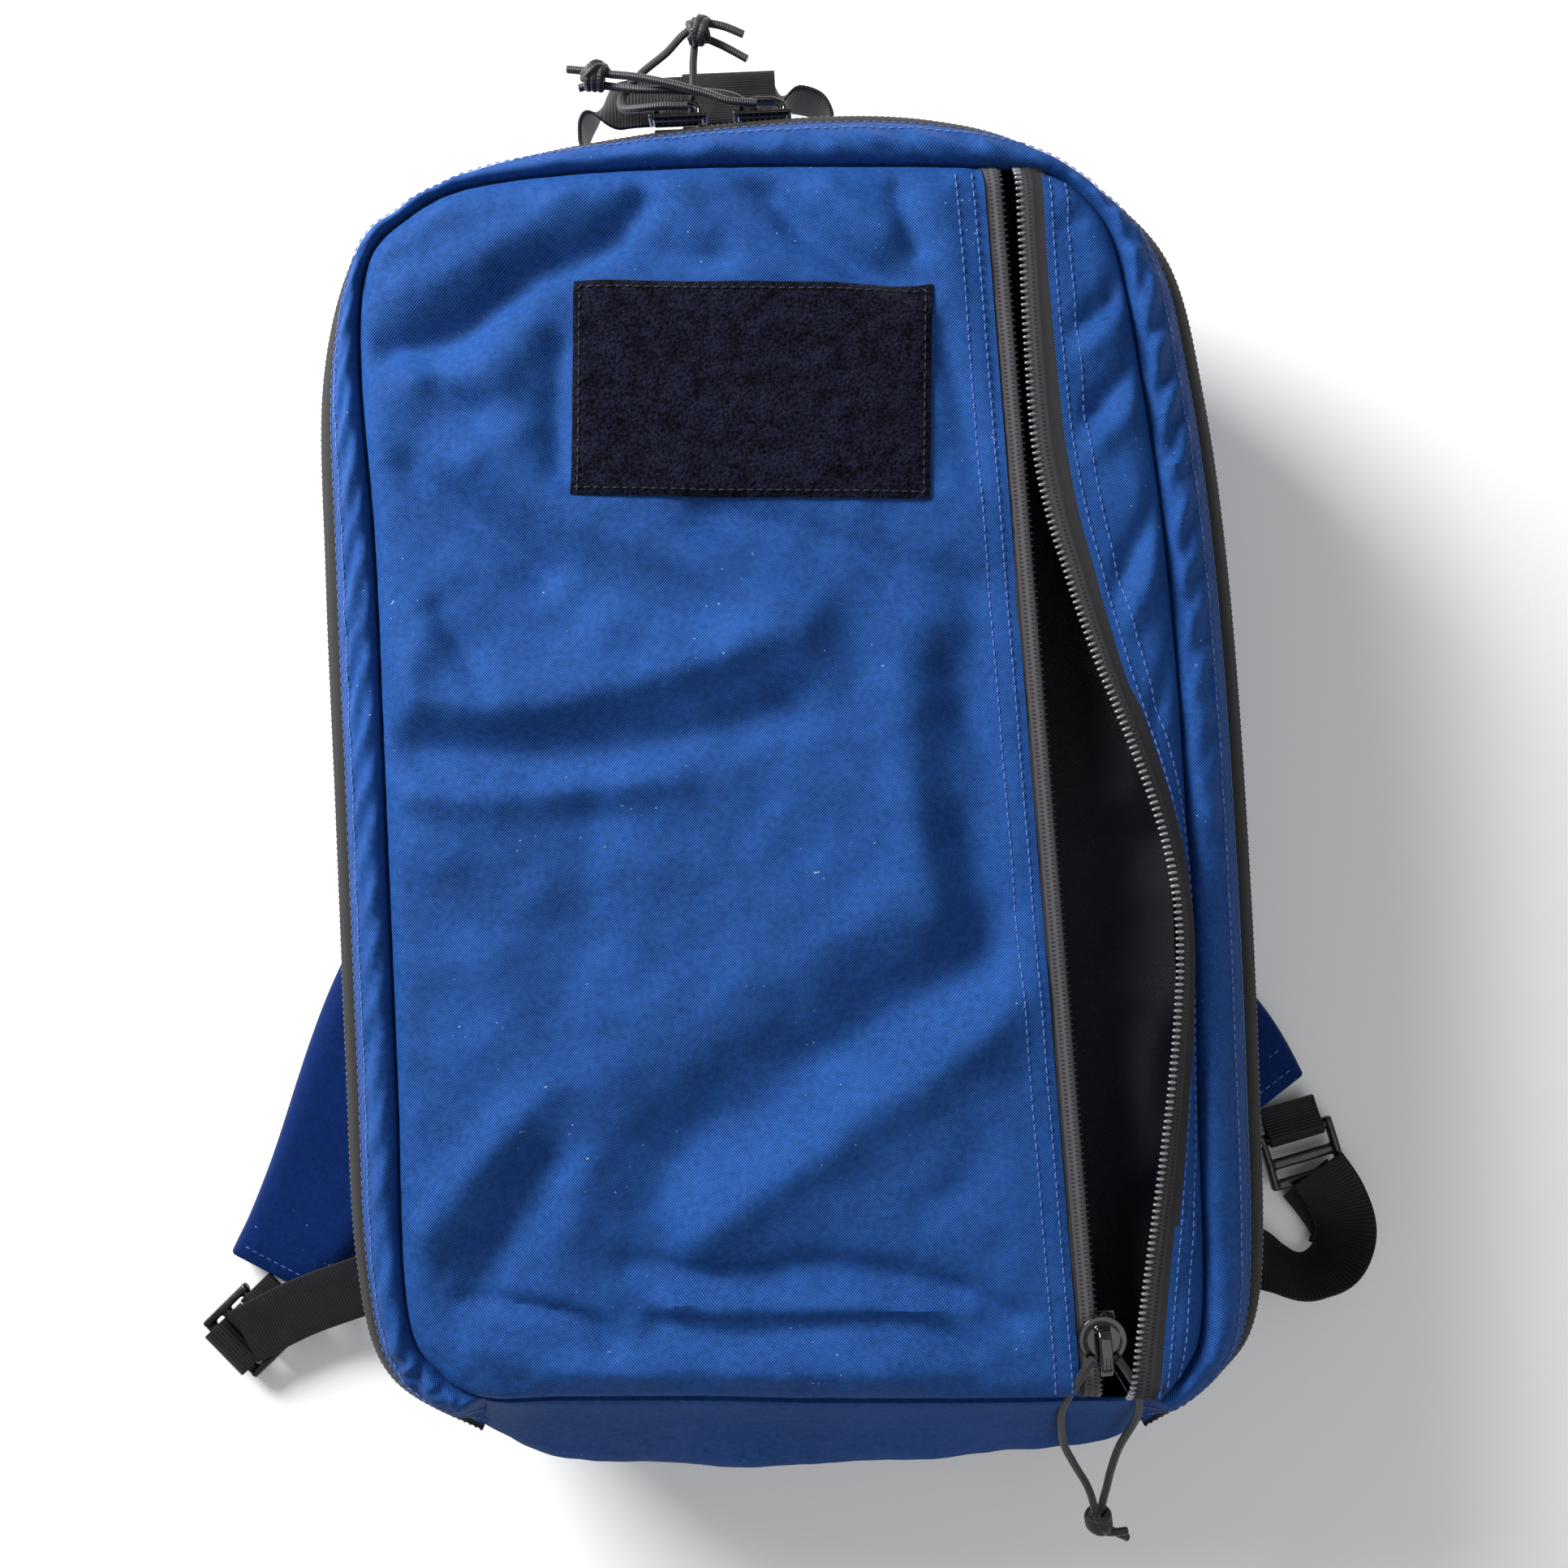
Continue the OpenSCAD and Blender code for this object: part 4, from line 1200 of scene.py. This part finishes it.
def band(first, last, sections):
    """A grid along part of the outline. Each section is an outline and its height."""
    lines = [with_height(piece_of(loop, first, last), z) for loop, z in sections]
    return np.stack(lines, axis=1)


def in_from_rim(sections):
    """Sections for band(), from pairs of how far in from the rim each lies, and its height."""
    return [(offset_loop(RIM_LOOP, inset), z) for inset, z in sections]


def toward(loop, slope):
    """Sections for band(), from the front's seam to a loop, as pairs of share of the way and height."""
    return [(SEAM_LOOP + (loop - SEAM_LOOP) * share, z) for share, z in slope]


ROLL = [
    (0, SEAM_Z), (0.03, 118.5), (0.1, 121.4), (0.22, 122.5), (0.36, 121.4), (0.5, 119),
    (0.64, 115.8), (0.76, 112), (0.87, 107.2), (0.95, 102), (1, 97),
]
BOTTOM_SLOPE = [
    (0, SEAM_Z), (0.04, 117), (0.12, 114), (0.27, 107.6), (0.5, 99.4), (0.72, 92.4), (0.9, 87.2),
    (1, 82),
]
FRONT_TAPE = [
    (BAND_INSET + 5.5, 97), (BAND_INSET + 1.8, 96), (3.2, 93), (1.6, 90.4), (0.4, 88.8), (-0.2, 87.2)
]
REAR_TAPE = [(-0.2, 82.8), (0.4, 81.2), (1.4, 79), (2.2, 76.4)]
REAR = [(1.4, 78.2), (0.8, 72), (1.6, 60), (4.6, 46), (9, 35), (BACK_INSET + 0.5, BACK_Z)]
BOTTOM = [(2.5, 68), (5, 52), (8.5, 38), (BACK_INSET + 0.5, BACK_Z)]
# Where the gusset is gathered at corners: how much, at which numbered point, and how far to each side
GATHERS = [(1, 17.2, 2.6), (0.8, 4.5, 3.2), (0.9, 1.2, 1.3), (0.5, 12.5, 1.4)]
# At each end, over this length, the gusset and the tape under it go down to the bottom panel
TUCK_RUN = 13
# How far down each line of the tape goes there
TAPE_TUCK = (9, 10.5, 7, 4, 2, 0.5)

gusset_edge = offset_loop(RIM_LOOP, BAND_INSET + 3.0)
roll_line = spline(ROLL, 4)
share = roll_line[:, 0]
gusset = band(*ZIP_ENDS, toward(gusset_edge, roll_line))
length_along = along(piece_of(RIM_LOOP, *ZIP_ENDS))
number = np.linspace(*ZIP_ENDS, len(length_along))
waves = wobble(crossed(length_along / 11, share * 1.6), 1.0)
gathered = sum(much * np.clip(1 - np.abs(number - at) / reach, 0, 1) for much, at, reach in GATHERS)
slant = np.sin((length_along[:, None] + 34 * share[None]) * 2 * math.pi / 19 + 1.5 * waves)
hump = (np.sin(math.pi * np.clip(share / 0.72, 0, 1)) ** 0.8)[None]
gusset[..., 2] += (1.3 * waves + 1.9 * slant * gathered[:, None]) * hump
# Each end of the band tucks in to meet the bottom panel, and reaches out over the zipper
from_end = np.minimum(length_along, length_along[-1] - length_along)
meeting = np.interp(share * 0.9, *zip(*BOTTOM_SLOPE)) - 1.0
tuck = (1 - smooth_step(from_end / TUCK_RUN))[:, None]
gusset[..., 2] += tuck * np.minimum(meeting[None] - gusset[..., 2], 0)
reach_out = piece_of(offset_loop(RIM_LOOP, 1.0) - gusset_edge, *ZIP_ENDS)
gusset[..., :2] += (tuck * share[None] ** 2)[..., None] * reach_out[:, None]
gusset_cloth = shell("front_gusset_cloth", gusset, CLOTH_T)
dress(gusset_cloth, CLOTH, "lid", ["front_gusset"])


def row_at_share(grid, shares, wanted):
    """A line on a grid's face, at a share of the way across it, and its normals."""
    at = np.interp(wanted, shares, np.arange(len(shares)))
    low, part = int(at), at - int(at)
    both = (grid, normals_of(grid))
    return tuple(g[:, low] * (1 - part) + g[:, low + 1] * part for g in both)


def row_from_edge(grid, back):
    """A line on a grid's face, back by some distance from its last edge, and its normals."""
    points, ups = [], []
    for cross, normal in zip(grid, normals_of(grid)):
        s = along(cross)
        points.append(value_at(s[-1] - back, s, cross))
        ups.append(value_at(s[-1] - back, s, normal))
    return np.array(points), np.array(ups)


rows = [stitches("gusset_row", *row_at_share(gusset, share, at), sink=-0.1) for at in (0.84, 0.6)]
dress(joined("front_gusset_stitches", rows), THREAD, "lid")

front_tape = band(*ZIP_ENDS, in_from_rim(FRONT_TAPE))
front_tape[..., 2] -= tuck * TAPE_TUCK
rear_tape = band(*ZIP_ENDS, in_from_rim(REAR_TAPE))
for name, grid, body in (("front", front_tape, "lid"), ("rear", rear_tape, "pack")):
    uv = grid_uv(grid)
    # The tape's own stitches are counted from its teeth, which are this grid's last line
    if name == "front":
        uv[..., 1] = uv[..., 1].max() - uv[..., 1]
    tape = shell(f"main_zip_tape_{name}_cloth", grid, 0.9, uv=uv)
    dress(tape, TAPE_MAIN, body, [f"main_zip_tape_{name}"])
for name, body, teeth_at in (("front", "lid", 1), ("rear", "pack", -1)):
    line = with_height(piece_of(offset_loop(RIM_LOOP, 0.1), *ZIP_ENDS), ZIP_Z + 1.15 * teeth_at)
    teeth = tooth_row(f"main_zip_teeth_{name}_row", line, (0, 0, teeth_at), 3.6, 2.3, 1.5, 1.3)
    dress(teeth, TEETH, body, [f"main_zip_teeth_{name}"])

rear = np.stack([evenly(spline(cross, 5), 26) for cross in band(*ZIP_ENDS, in_from_rim(REAR))])
rear_waves = wobble(rear, 24, 2.0) * np.sin(math.pi * np.linspace(0, 1, rear.shape[1]))[None]
rear += normals_of(rear) * rear_waves[..., None] * 1.1
dress(shell("rear_gusset_cloth", rear, CLOTH_T), CLOTH, "pack", ["rear_gusset"])
rows = [stitches("rear_row", *row_from_edge(rear[:, ::-1], back)) for back in (3.0, 9.0)]
dress(joined("rear_gusset_stitches", rows), THREAD, "pack")

bottom = band(
    ZIP_ENDS[1], len(RIM), toward(offset_loop(RIM_LOOP, 0.8), BOTTOM_SLOPE) + in_from_rim(BOTTOM)
)
bottom = np.stack([evenly(spline(cross, 6), 56) for cross in bottom])
bottom_waves = 0.9 * wobble(bottom, 30, 4.0) + 0.3 * wobble(bottom, 9, 4.0)
bottom_waves *= np.sin(math.pi * np.linspace(0, 1, bottom.shape[1]))[None]
bottom += normals_of(bottom) * bottom_waves[..., None]
bottom_cloth = shell("bottom_panel_cloth", bottom, CLOTH_T)
dress(bottom_cloth, CLOTH, None, ["bottom_panel", "bottom_panel_flap"])
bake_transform(bottom_cloth)

# ---- Layers inside and behind ----

# The numbered points that stand for the whole outline's corners, clockwise from the bottom left
WHOLE_CORNERS = (1, 8, 15.5, 22)


def layer(name, inward, z, thick, lumps, face_up=True):
    """A flat layer inside the bag, with soft lumps."""
    loop = offset_loop(RIM_LOOP, inward)
    plan = plan_patch(loop, WHOLE_CORNERS, 6)
    edge_fade = smooth_step(to_line(plan, loop[::4]) / 20)
    grid = with_height(plan, z + lumps * wobble(plan, 34, inward) * edge_fade)
    return shell(name, grid, thick, uv=plan, flip=face_up)


back_panel = layer("back_panel_cloth", BACK_INSET, BACK_Z - 1.4, 1.4, 0.0, face_up=False)
dress(back_panel, CLOTH, "pack", ["back_panel"])
rear_lining = layer("rear_lining_cloth", 18, 30.9, 0.9, 0.25)
dress(rear_lining, LINING, "pack", ["rear_lining"])

# The pocket's lining sags away from the zipper, in soft folds
plan = plan_patch(offset_loop(SEAM_LOOP, 2.0), WHOLE_CORNERS, 4)
floor_z = 102.5 + 3.6 * wobble(plan, 38, 6.0) + 1.5 * wobble(plan, 17, 8.0)
floor_z -= 3.0 * bell(np.abs(plan[..., 0] - 118), 60)
pocket = shell("pocket_lining_cloth", with_height(plan, floor_z), 0.9, uv=plan, flip=True)
dress(pocket, LINING, "lid", ["pocket_lining"])

# Two flat fields: the heights of each one's back and face, and how high its lumps are
for name, low, high, lumps, material, slot_name, body, node in (
    ("loop_field_cloth", 31, 32.3, 0.0, LOOP, "loop_fabric", "pack", "loop_field_inside"),
    ("lid_mesh_cloth", 93, 94.2, 0.3, MESH, "black_mesh", "lid", "lid_mesh_pocket"),
):
    plan = crossed(np.linspace(-110, 110, 60), np.linspace(-150, 150, 80))
    grid = with_height(plan, high + lumps * wobble(plan, 30, 1.0))
    dress(shell(name, grid, high - low - 0.1, uv=plan), material, body, [node])

# Each elastic band is sewn down at seven places, and rises in a loop between them
bands = []
for middle_y in (-60, 60):
    plan = crossed(np.linspace(-105, 105, 85), np.linspace(-20, 20, 12))
    plan[..., 1] += middle_y
    loops_up = 1.6 * np.abs(np.sin((plan[..., 0] + 105) * math.pi / 35)) ** 0.7
    bands.append(shell("elastic", with_height(plan, 33.2 + loops_up), 1.0))
dress(joined("elastic_band_pair", bands), ELASTIC, "pack", ["elastic_bands"])

# ---- Back pad, yoke and harness ----

PAD_ROUND = 11.0
EDGE_HALF = 0.6
SWELL_FRAMES = 14


def cushion(name, plan, low, high, edge, uv):
    """A padded piece between two heights, whose edge is drawn in to a seam."""
    middle = (low + high) / 2
    rise = np.sqrt(1 - (1 - np.clip(edge / PAD_ROUND, 0, 1)) ** 2)
    top = with_height(plan, middle + EDGE_HALF + (high - middle - EDGE_HALF) * rise)
    bottom = with_height(plan, middle - EDGE_HALF - (middle - EDGE_HALF - low) * rise)
    obj = sheet(name, top, bottom, uv)
    fix_normals(obj)
    return obj


def swollen(obj, pressure, cap):
    """Lets a padded piece fill out as cloth, and holds it within cap millimetres of its own shape."""
    rest = np.array([p.co for p in obj.data.vertices])
    cloth = obj.modifiers.new("cloth", "CLOTH")
    cloth.settings.use_pressure = True
    cloth.settings.uniform_pressure_force = pressure
    cloth.settings.effector_weights.gravity = 0
    cloth.settings.quality = 4
    cloth.point_cache.frame_start = 1
    cloth.point_cache.frame_end = SWELL_FRAMES
    for f in range(1, SWELL_FRAMES + 1):
        scene.frame_set(f)
    evaluated = obj.evaluated_get(bpy.context.evaluated_depsgraph_get())
    now = np.array([p.co for p in evaluated.data.vertices])
    obj.modifiers.clear()
    scene.frame_set(1)
    move = now - rest
    far = np.linalg.norm(move, axis=1, keepdims=True)
    move *= np.minimum(1, cap * MM / np.maximum(far, 1e-9))
    obj.data.vertices.foreach_set("co", (rest + move).astype(np.float32).ravel())
    obj.data.update()
    return obj


pad_loop = offset_loop(RIM_LOOP, 40)
pad_plan = plan_patch(pad_loop, WHOLE_CORNERS, 4)
pad_edge = to_line(pad_plan, np.concatenate([pad_loop[::3], pad_loop[:1]]))
# Channels part the pad: one along its middle, and two across it
channels = np.minimum(np.abs(pad_plan[..., 0]), np.abs(np.abs(pad_plan[..., 1] - 10) - 78))
pad = cushion("back_pad_mesh", pad_plan, 14.8, 25.6, np.minimum(pad_edge, channels + 2.2), pad_plan)
dress(swollen(pad, 3.0, 0.8), MESH, "pack", ["back_pad"])

plan = crossed(np.linspace(-95, 95, 70), np.linspace(150.5, 201.5, 22))
yoke = shell("strap_yoke_cloth", with_height(plan, 14.1), 1.6, uv=plan)
dress(yoke, CLOTH, "pack", ["strap_yoke"])

# Each strap's middle line, as (x, y, half its width)
STRAP_LINES = {
    "left": [(-55, 198, 33), (-62, 130, 34), (-90, 50, 35), (-130, -25, 35), (-170, -90, 34),
             (-205, -160, 27), (-227, -199, 23)],
    "right": [(55, 198, 33), (50, 120, 34), (66, 40, 35), (105, -30, 34), (150, -85, 30),
              (180, -120, 26), (197, -143, 21)],
}
# Each ladder lock's place, and the angle in plan at which it points away from its strap
LOCKS = {"left": ((-233, -214.5, 8), 222), "right": ((209.5, -155, 8), 284)}
# In a lock's own frame, x runs along its strap and y across the webbing
LOOP_PATH = [
    (-13, 0, -0.6), (-7, 0, -0.9), (-3, 0, -2.2), (0, 0, -3.1), (2.4, 0, -2.1), (3.2, 0, 0),
    (2.4, 0, 2.1), (0, 0, 3.1), (-3, 0, 2.2), (-7, 0, 0.9), (-13, 0, 0.6),
]
LOCK_RAIL = [(-2.5, 0), (4, 0.7), (12, 1.2), (21.5, 0.2)]
LOCK_BARS = [(11, 0.6), (20, 0.2)]
RAIL_R = 1.75
BAR_R = 1.7


def at_lock(points, side):
    """Points of a lock's own frame as the bag's."""
    at, turn = LOCKS[side]
    p = np.asarray(points, float)
    c, s = math.cos(math.radians(turn)), math.sin(math.radians(turn))
    x = at[0] + p[:, 0] * c - p[:, 1] * s
    y = at[1] + p[:, 0] * s + p[:, 1] * c
    return np.stack([x, y, at[2] + p[:, 2]], axis=1)


def across_lock(side):
    """The way across a lock's webbing."""
    turn = math.radians(LOCKS[side][1])
    return (-math.sin(turn), math.cos(turn), 0)


def lock_shapes(place):
    """A ladder lock's bars: one that the strap's loop holds, two rails, and two more bars."""
    half = WEB_W / 2
    bars = [rod((0, -half - 2, 0), (0, half + 2, 0), 2.0, place)]
    for y in (-half - 2.2, half + 2.2):
        for p, q in zip(LOCK_RAIL[:-1], LOCK_RAIL[1:]):
            for dz in (-0.7, 0.7):
                bars.append(rod((p[0], y, p[1] + dz), (q[0], y, q[1] + dz), RAIL_R, place))
    for x, z in LOCK_BARS:
        for dx in (-0.7, 0.7):
            bars.append(rod((x + dx, -half - 1.5, z), (x + dx, half + 1.5, z), BAR_R, place))
    return bars


for side, line in STRAP_LINES.items():
    body = f"strap_{side}"
    middle = spaced(spline(line, 8), 3.2)
    half_wide = middle[:, 2:3]
    ahead = unit(np.gradient(middle[:, :2], axis=0))
    across = np.stack([-ahead[:, 1], ahead[:, 0]], axis=1)
    k = np.linspace(-1, 1, 30)
    plan = middle[:, None, :2] + across[:, None] * (k[None, :] * half_wide)[..., None]
    s = along(middle[:, :2])
    edge = np.minimum((1 - np.abs(k))[None] * half_wide, np.minimum(s, s[-1] - s)[:, None] + 2)
    strap = cushion(f"strap_{side}_cloth", plan, 0.6, 11.7, edge, crossed(s, k * 30))
    covered = [f"strap_cover_{side}", f"strap_foam_{side}"]
    # The straps take the darker copy of the cloth, which is painted shade.
    dress(swollen(strap, 3.0, 0.7), STRAP_CLOTH_PAINTED_SHADE, body, covered)
    tip_rows = []
    for back in (5.0, 17.0):
        row = plan[int(np.argmin(np.abs(s - (s[-1] - back)))), 4:-4]
        tip_rows.append(stitches("tip", with_height(spaced(row, 2.0), 11.0), UP, sink=-0.5))
    dress(joined(f"strap_{side}_tip_stitches", tip_rows), THREAD, body)

    eye = sweep(
        f"strap_loop_{side}_webbing", at_lock(spline(LOOP_PATH, 4), side),
        flat_section(WEB_W - 1, 1.3), across_lock(side),
    )
    dress(eye, WEBBING, body, [f"strap_loop_{side}"])
    lock = moulded(f"ladder_lock_{side}_body", lock_shapes(local_frame(*LOCKS[side])), 0.5, 4)
    dress(lock, BUCKLE, f"ladder_lock_{side}", [f"ladder_lock_{side}"])

    # The tab runs out from under the bag's edge, and narrows to the lower webbing's width
    mirror = 1 if side == "right" else -1
    grid = crossed(np.linspace(134, 178, 16), np.linspace(-1, 1, 12))
    x, y = grid[..., 0], grid[..., 1]
    low_y = np.interp(x, [134, 172, 180], [-218, -212, -184])
    top_y = np.interp(x, [134, 180], [-160, -184])
    tab_plan = np.stack([mirror * x, (low_y + top_y) / 2 + y * (top_y - low_y) / 2], axis=-1)
    tab_grid = with_height(tab_plan, 25.5)
    tab = shell(f"anchor_tab_{side}_cloth", tab_grid, 3.8, uv=tab_plan, flip=(side == "left"))
    dress(tab, CLOTH, "pack", [f"anchor_tab_{side}"])


def webbing_section(width=WEB_W):
    """The section of a strip of webbing, for sweep()."""
    return flat_section(width, WEB_T, 0.5, 3, 6)


def twisted(name, line, tilt=(0, 0)):
    """Webbing along a line, turned about its own direction by each angle in tilt."""
    path = spaced(spline(line, 8), 1.6)
    ahead = unit(np.gradient(path, axis=0))
    side = unit(np.cross(ahead, [0, 0, 1.0]))
    up = np.cross(side, ahead)
    a = np.interp(np.linspace(0, 1, len(path)), np.linspace(0, 1, len(tilt)), tilt)
    a = np.radians(a)[:, None]
    return sweep(name, path, webbing_section(), side * np.cos(a) + up * np.sin(a))


# Each lower webbing: its line, how it is turned, and where it goes over from the bag to its strap
LOWER_WEBBINGS = {
    "left": (
        [(-166, -194, 20.5), (-196, -203, 18.5), (-218, -211, 15), (-241, -222, 13.2)], (0, 0),
        (-170, -195, 20), (-215, -210, 15),
    ),
    "right": (
        [(166, -194, 20.2), (190, -206, 17.6), (207, -214, 17), (221, -209, 17), (227, -196, 15.5),
         (224, -182, 14.2), (217, -170, 13.6)], (0, 5, 45, 60, 40, 15, 0),
        (172, -196, 20), (212, -212, 17),
    ),
}
for side, (line, tilt, start, end) in LOWER_WEBBINGS.items():
    lower = twisted(f"lower_webbing_{side}_strip", line, tilt)
    dress(lower, WEBBING, None, [f"lower_webbing_{side}"])
    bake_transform(lower)

# The left tail turns back under its lock; the right one lies on the floor
LEFT_TAIL = [
    (15.5, 0, 0), (16, 0, 3.2), (20, 0, 4), (24, 0, 2.2), (24.6, 0, -2.5), (20, 0, -5.4), (8, 0, -6.6)
]
RIGHT_TAIL = [(214.5, -176, 4), (222, -186, 3.4), (229, -199, 3), (227, -208, 2.4)]
tail_left = sweep(
    "webbing_tail_left_strip", at_lock(spline(LEFT_TAIL, 6), "left"), webbing_section(WEB_W - 2),
    across_lock("left"),
)
dress(tail_left, WEBBING, "ladder_lock_left", ["webbing_tail_left"])
tail_right = twisted("webbing_tail_right_strip", RIGHT_TAIL)
dress(tail_right, WEBBING, "strap_right", ["webbing_tail_right"])

# ---- Carry handle ----

HANDLE_HALF = [(-49, 255, 60), (-48.5, 263, 60), (-44, 269, 61), (-34, 271.5, 63), (-20, 272, 64)]
SLEEVE_MIDDLE = (270.6, 64.0)
SLEEVE_LEAN = math.radians(-24)
SLEEVE_ENDS = (-9, 27.5)

whole = HANDLE_HALF + [(-x, y, z) for x, y, z in HANDLE_HALF[::-1]]
handle_path = spaced(spline([(HANDLE_X + x, y, z) for x, y, z in whole], 8), 1.6)
from_middle = handle_path[:, 0] - HANDLE_X
turned = (smooth_step((from_middle + 49) / 16) * smooth_step((36 - from_middle) / 14))[:, None]
lying = np.array([0, math.cos(SLEEVE_LEAN), math.sin(SLEEVE_LEAN)])
handle_side = unit((1 - turned) * np.array([0, 0, -1.0]) + turned * lying)
handle = sweep("handle_webbing_strip", handle_path, webbing_section(), handle_side)
dress(handle, WEBBING, None, ["handle_webbing"])
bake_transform(handle)

# The sleeve is one strip of webbing sewn round the handle, open at both ends
outline = flat_section(30, 5.4, 2.4)
ring = evenly(np.concatenate([outline, outline[:1]]), 60)[:-1]
xs = np.linspace(*(HANDLE_X + np.array(SLEEVE_ENDS)), 26)
walls = []
for shrink in (np.array([1.0, 1.0]), np.array([0.94, 0.55])):
    across, up = (ring * shrink).T
    y = SLEEVE_MIDDLE[0] + across * math.cos(SLEEVE_LEAN) - up * math.sin(SLEEVE_LEAN)
    z = SLEEVE_MIDDLE[1] + across * math.sin(SLEEVE_LEAN) + up * math.cos(SLEEVE_LEAN)
    walls.append(np.stack(np.broadcast_arrays(xs[None], y[:, None], z[:, None]), axis=-1))
index = np.arange(len(ring) * len(xs)).reshape(len(ring), len(xs))
after = np.roll(index, -1, axis=0)
total = index.size
quads = np.stack([index[:, :-1], after[:, :-1], after[:, 1:], index[:, 1:]], axis=-1).reshape(-1, 4)
rims = [
    np.stack([index[:, e], after[:, e], after[:, e] + total, index[:, e] + total], axis=-1)
    for e in (0, -1)
]
uv = crossed(along(ring), xs).reshape(-1, 2)
sleeve = new_mesh(
    "handle_sleeve_webbing", np.concatenate([wall.reshape(-1, 3) for wall in walls]),
    np.concatenate([quads, quads[:, ::-1] + total, *rims]), np.concatenate([uv, uv]),
)
fix_normals(sleeve)
dress(sleeve, WEBBING, "handle", ["handle_sleeve"])

# ---- Sliders ----

SLIDER_VOXEL = 0.34
# The arches that the pulls go through, as (along the slider, up)
FRONT_ARCH = [
    (4.4, 2.0), (4.2, 5.2), (2.4, 6.8), (-3, 7.2), (-8.4, 6.6), (-10.7, 4.8), (-10.9, 3.0)
]
MAIN_ARCH = [
    (8.0, 2.6), (8.1, 5.4), (6.6, 7.2), (2, 7.9), (-4, 7.7), (-7.6, 6.2), (-8.4, 4.4), (-8.2, 3.2)
]


def arch(points, half, r, place, along_x):
    """A flat arch of three rods side by side, along X or Y, through points given as (along, up)."""
    rods = []
    for shift in (-half, 0, half):
        line = [(p, shift, z) if along_x else (shift, p, z) for p, z in points]
        rods += [rod(a, b, r, place) for a, b in zip(line[:-1], line[1:])]
    return rods


place = local_frame((zip_x(SLIDER_Y), SLIDER_Y, FRONT_Z), math.degrees(math.atan(-ZIP_LEAN)))
shapes = [
    rod((0, 0, 0.6), (0, 0, 2.0), 8.6, place),
    rod((0, 0, 1.9), (0, 0, 2.6), 7.4, place, 5.6),
    block((-6, -8.4, -5.3), (6, 8.4, -3.9), place),
    rod((1.6, 6, -4.4), (1.6, 6, 0.9), 1.1, place),
]
shapes += arch(FRONT_ARCH, 1.35, 1.05, place, along_x=False)
front_slider = moulded("front_slider_body", shapes, SLIDER_VOXEL, 2)
dress(front_slider, METAL, "front_slider", ["front_slider"])

for side, x_at, way in (("left", -32, 1), ("right", 0, -1)):
    place = local_frame((x_at, 254, ZIP_Z), 0, -90)
    shapes = [
        block((-11, -4.2, 1.4), (11, 4.2, 2.9), place),
        rod((-9, 0, 1.6), (9, 0, 1.6), 2.3, place),
        block((-9, -4.2, -4.4), (9, 4.2, -3.2), place),
        block((way * 7.9 - 0.9, -0.9, -3.6), (way * 7.9 + 0.9, 0.9, 1.8), place),
    ]
    shapes += arch([(way * p, z) for p, z in MAIN_ARCH], 1.4, 1.0, place, along_x=True)
    slider = moulded(f"main_slider_{side}_body", shapes, SLIDER_VOXEL, 2)
    dress(slider, METAL, f"main_slider_{side}", [f"main_slider_{side}"])

# ---- CAD parts that keep their own shape ----

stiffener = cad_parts["frame_sheet"]
if stiffener.material_slots:
    for material_slot in stiffener.material_slots:
        material_slot.material = PLASTIC
else:
    stiffener.data.materials.append(PLASTIC)
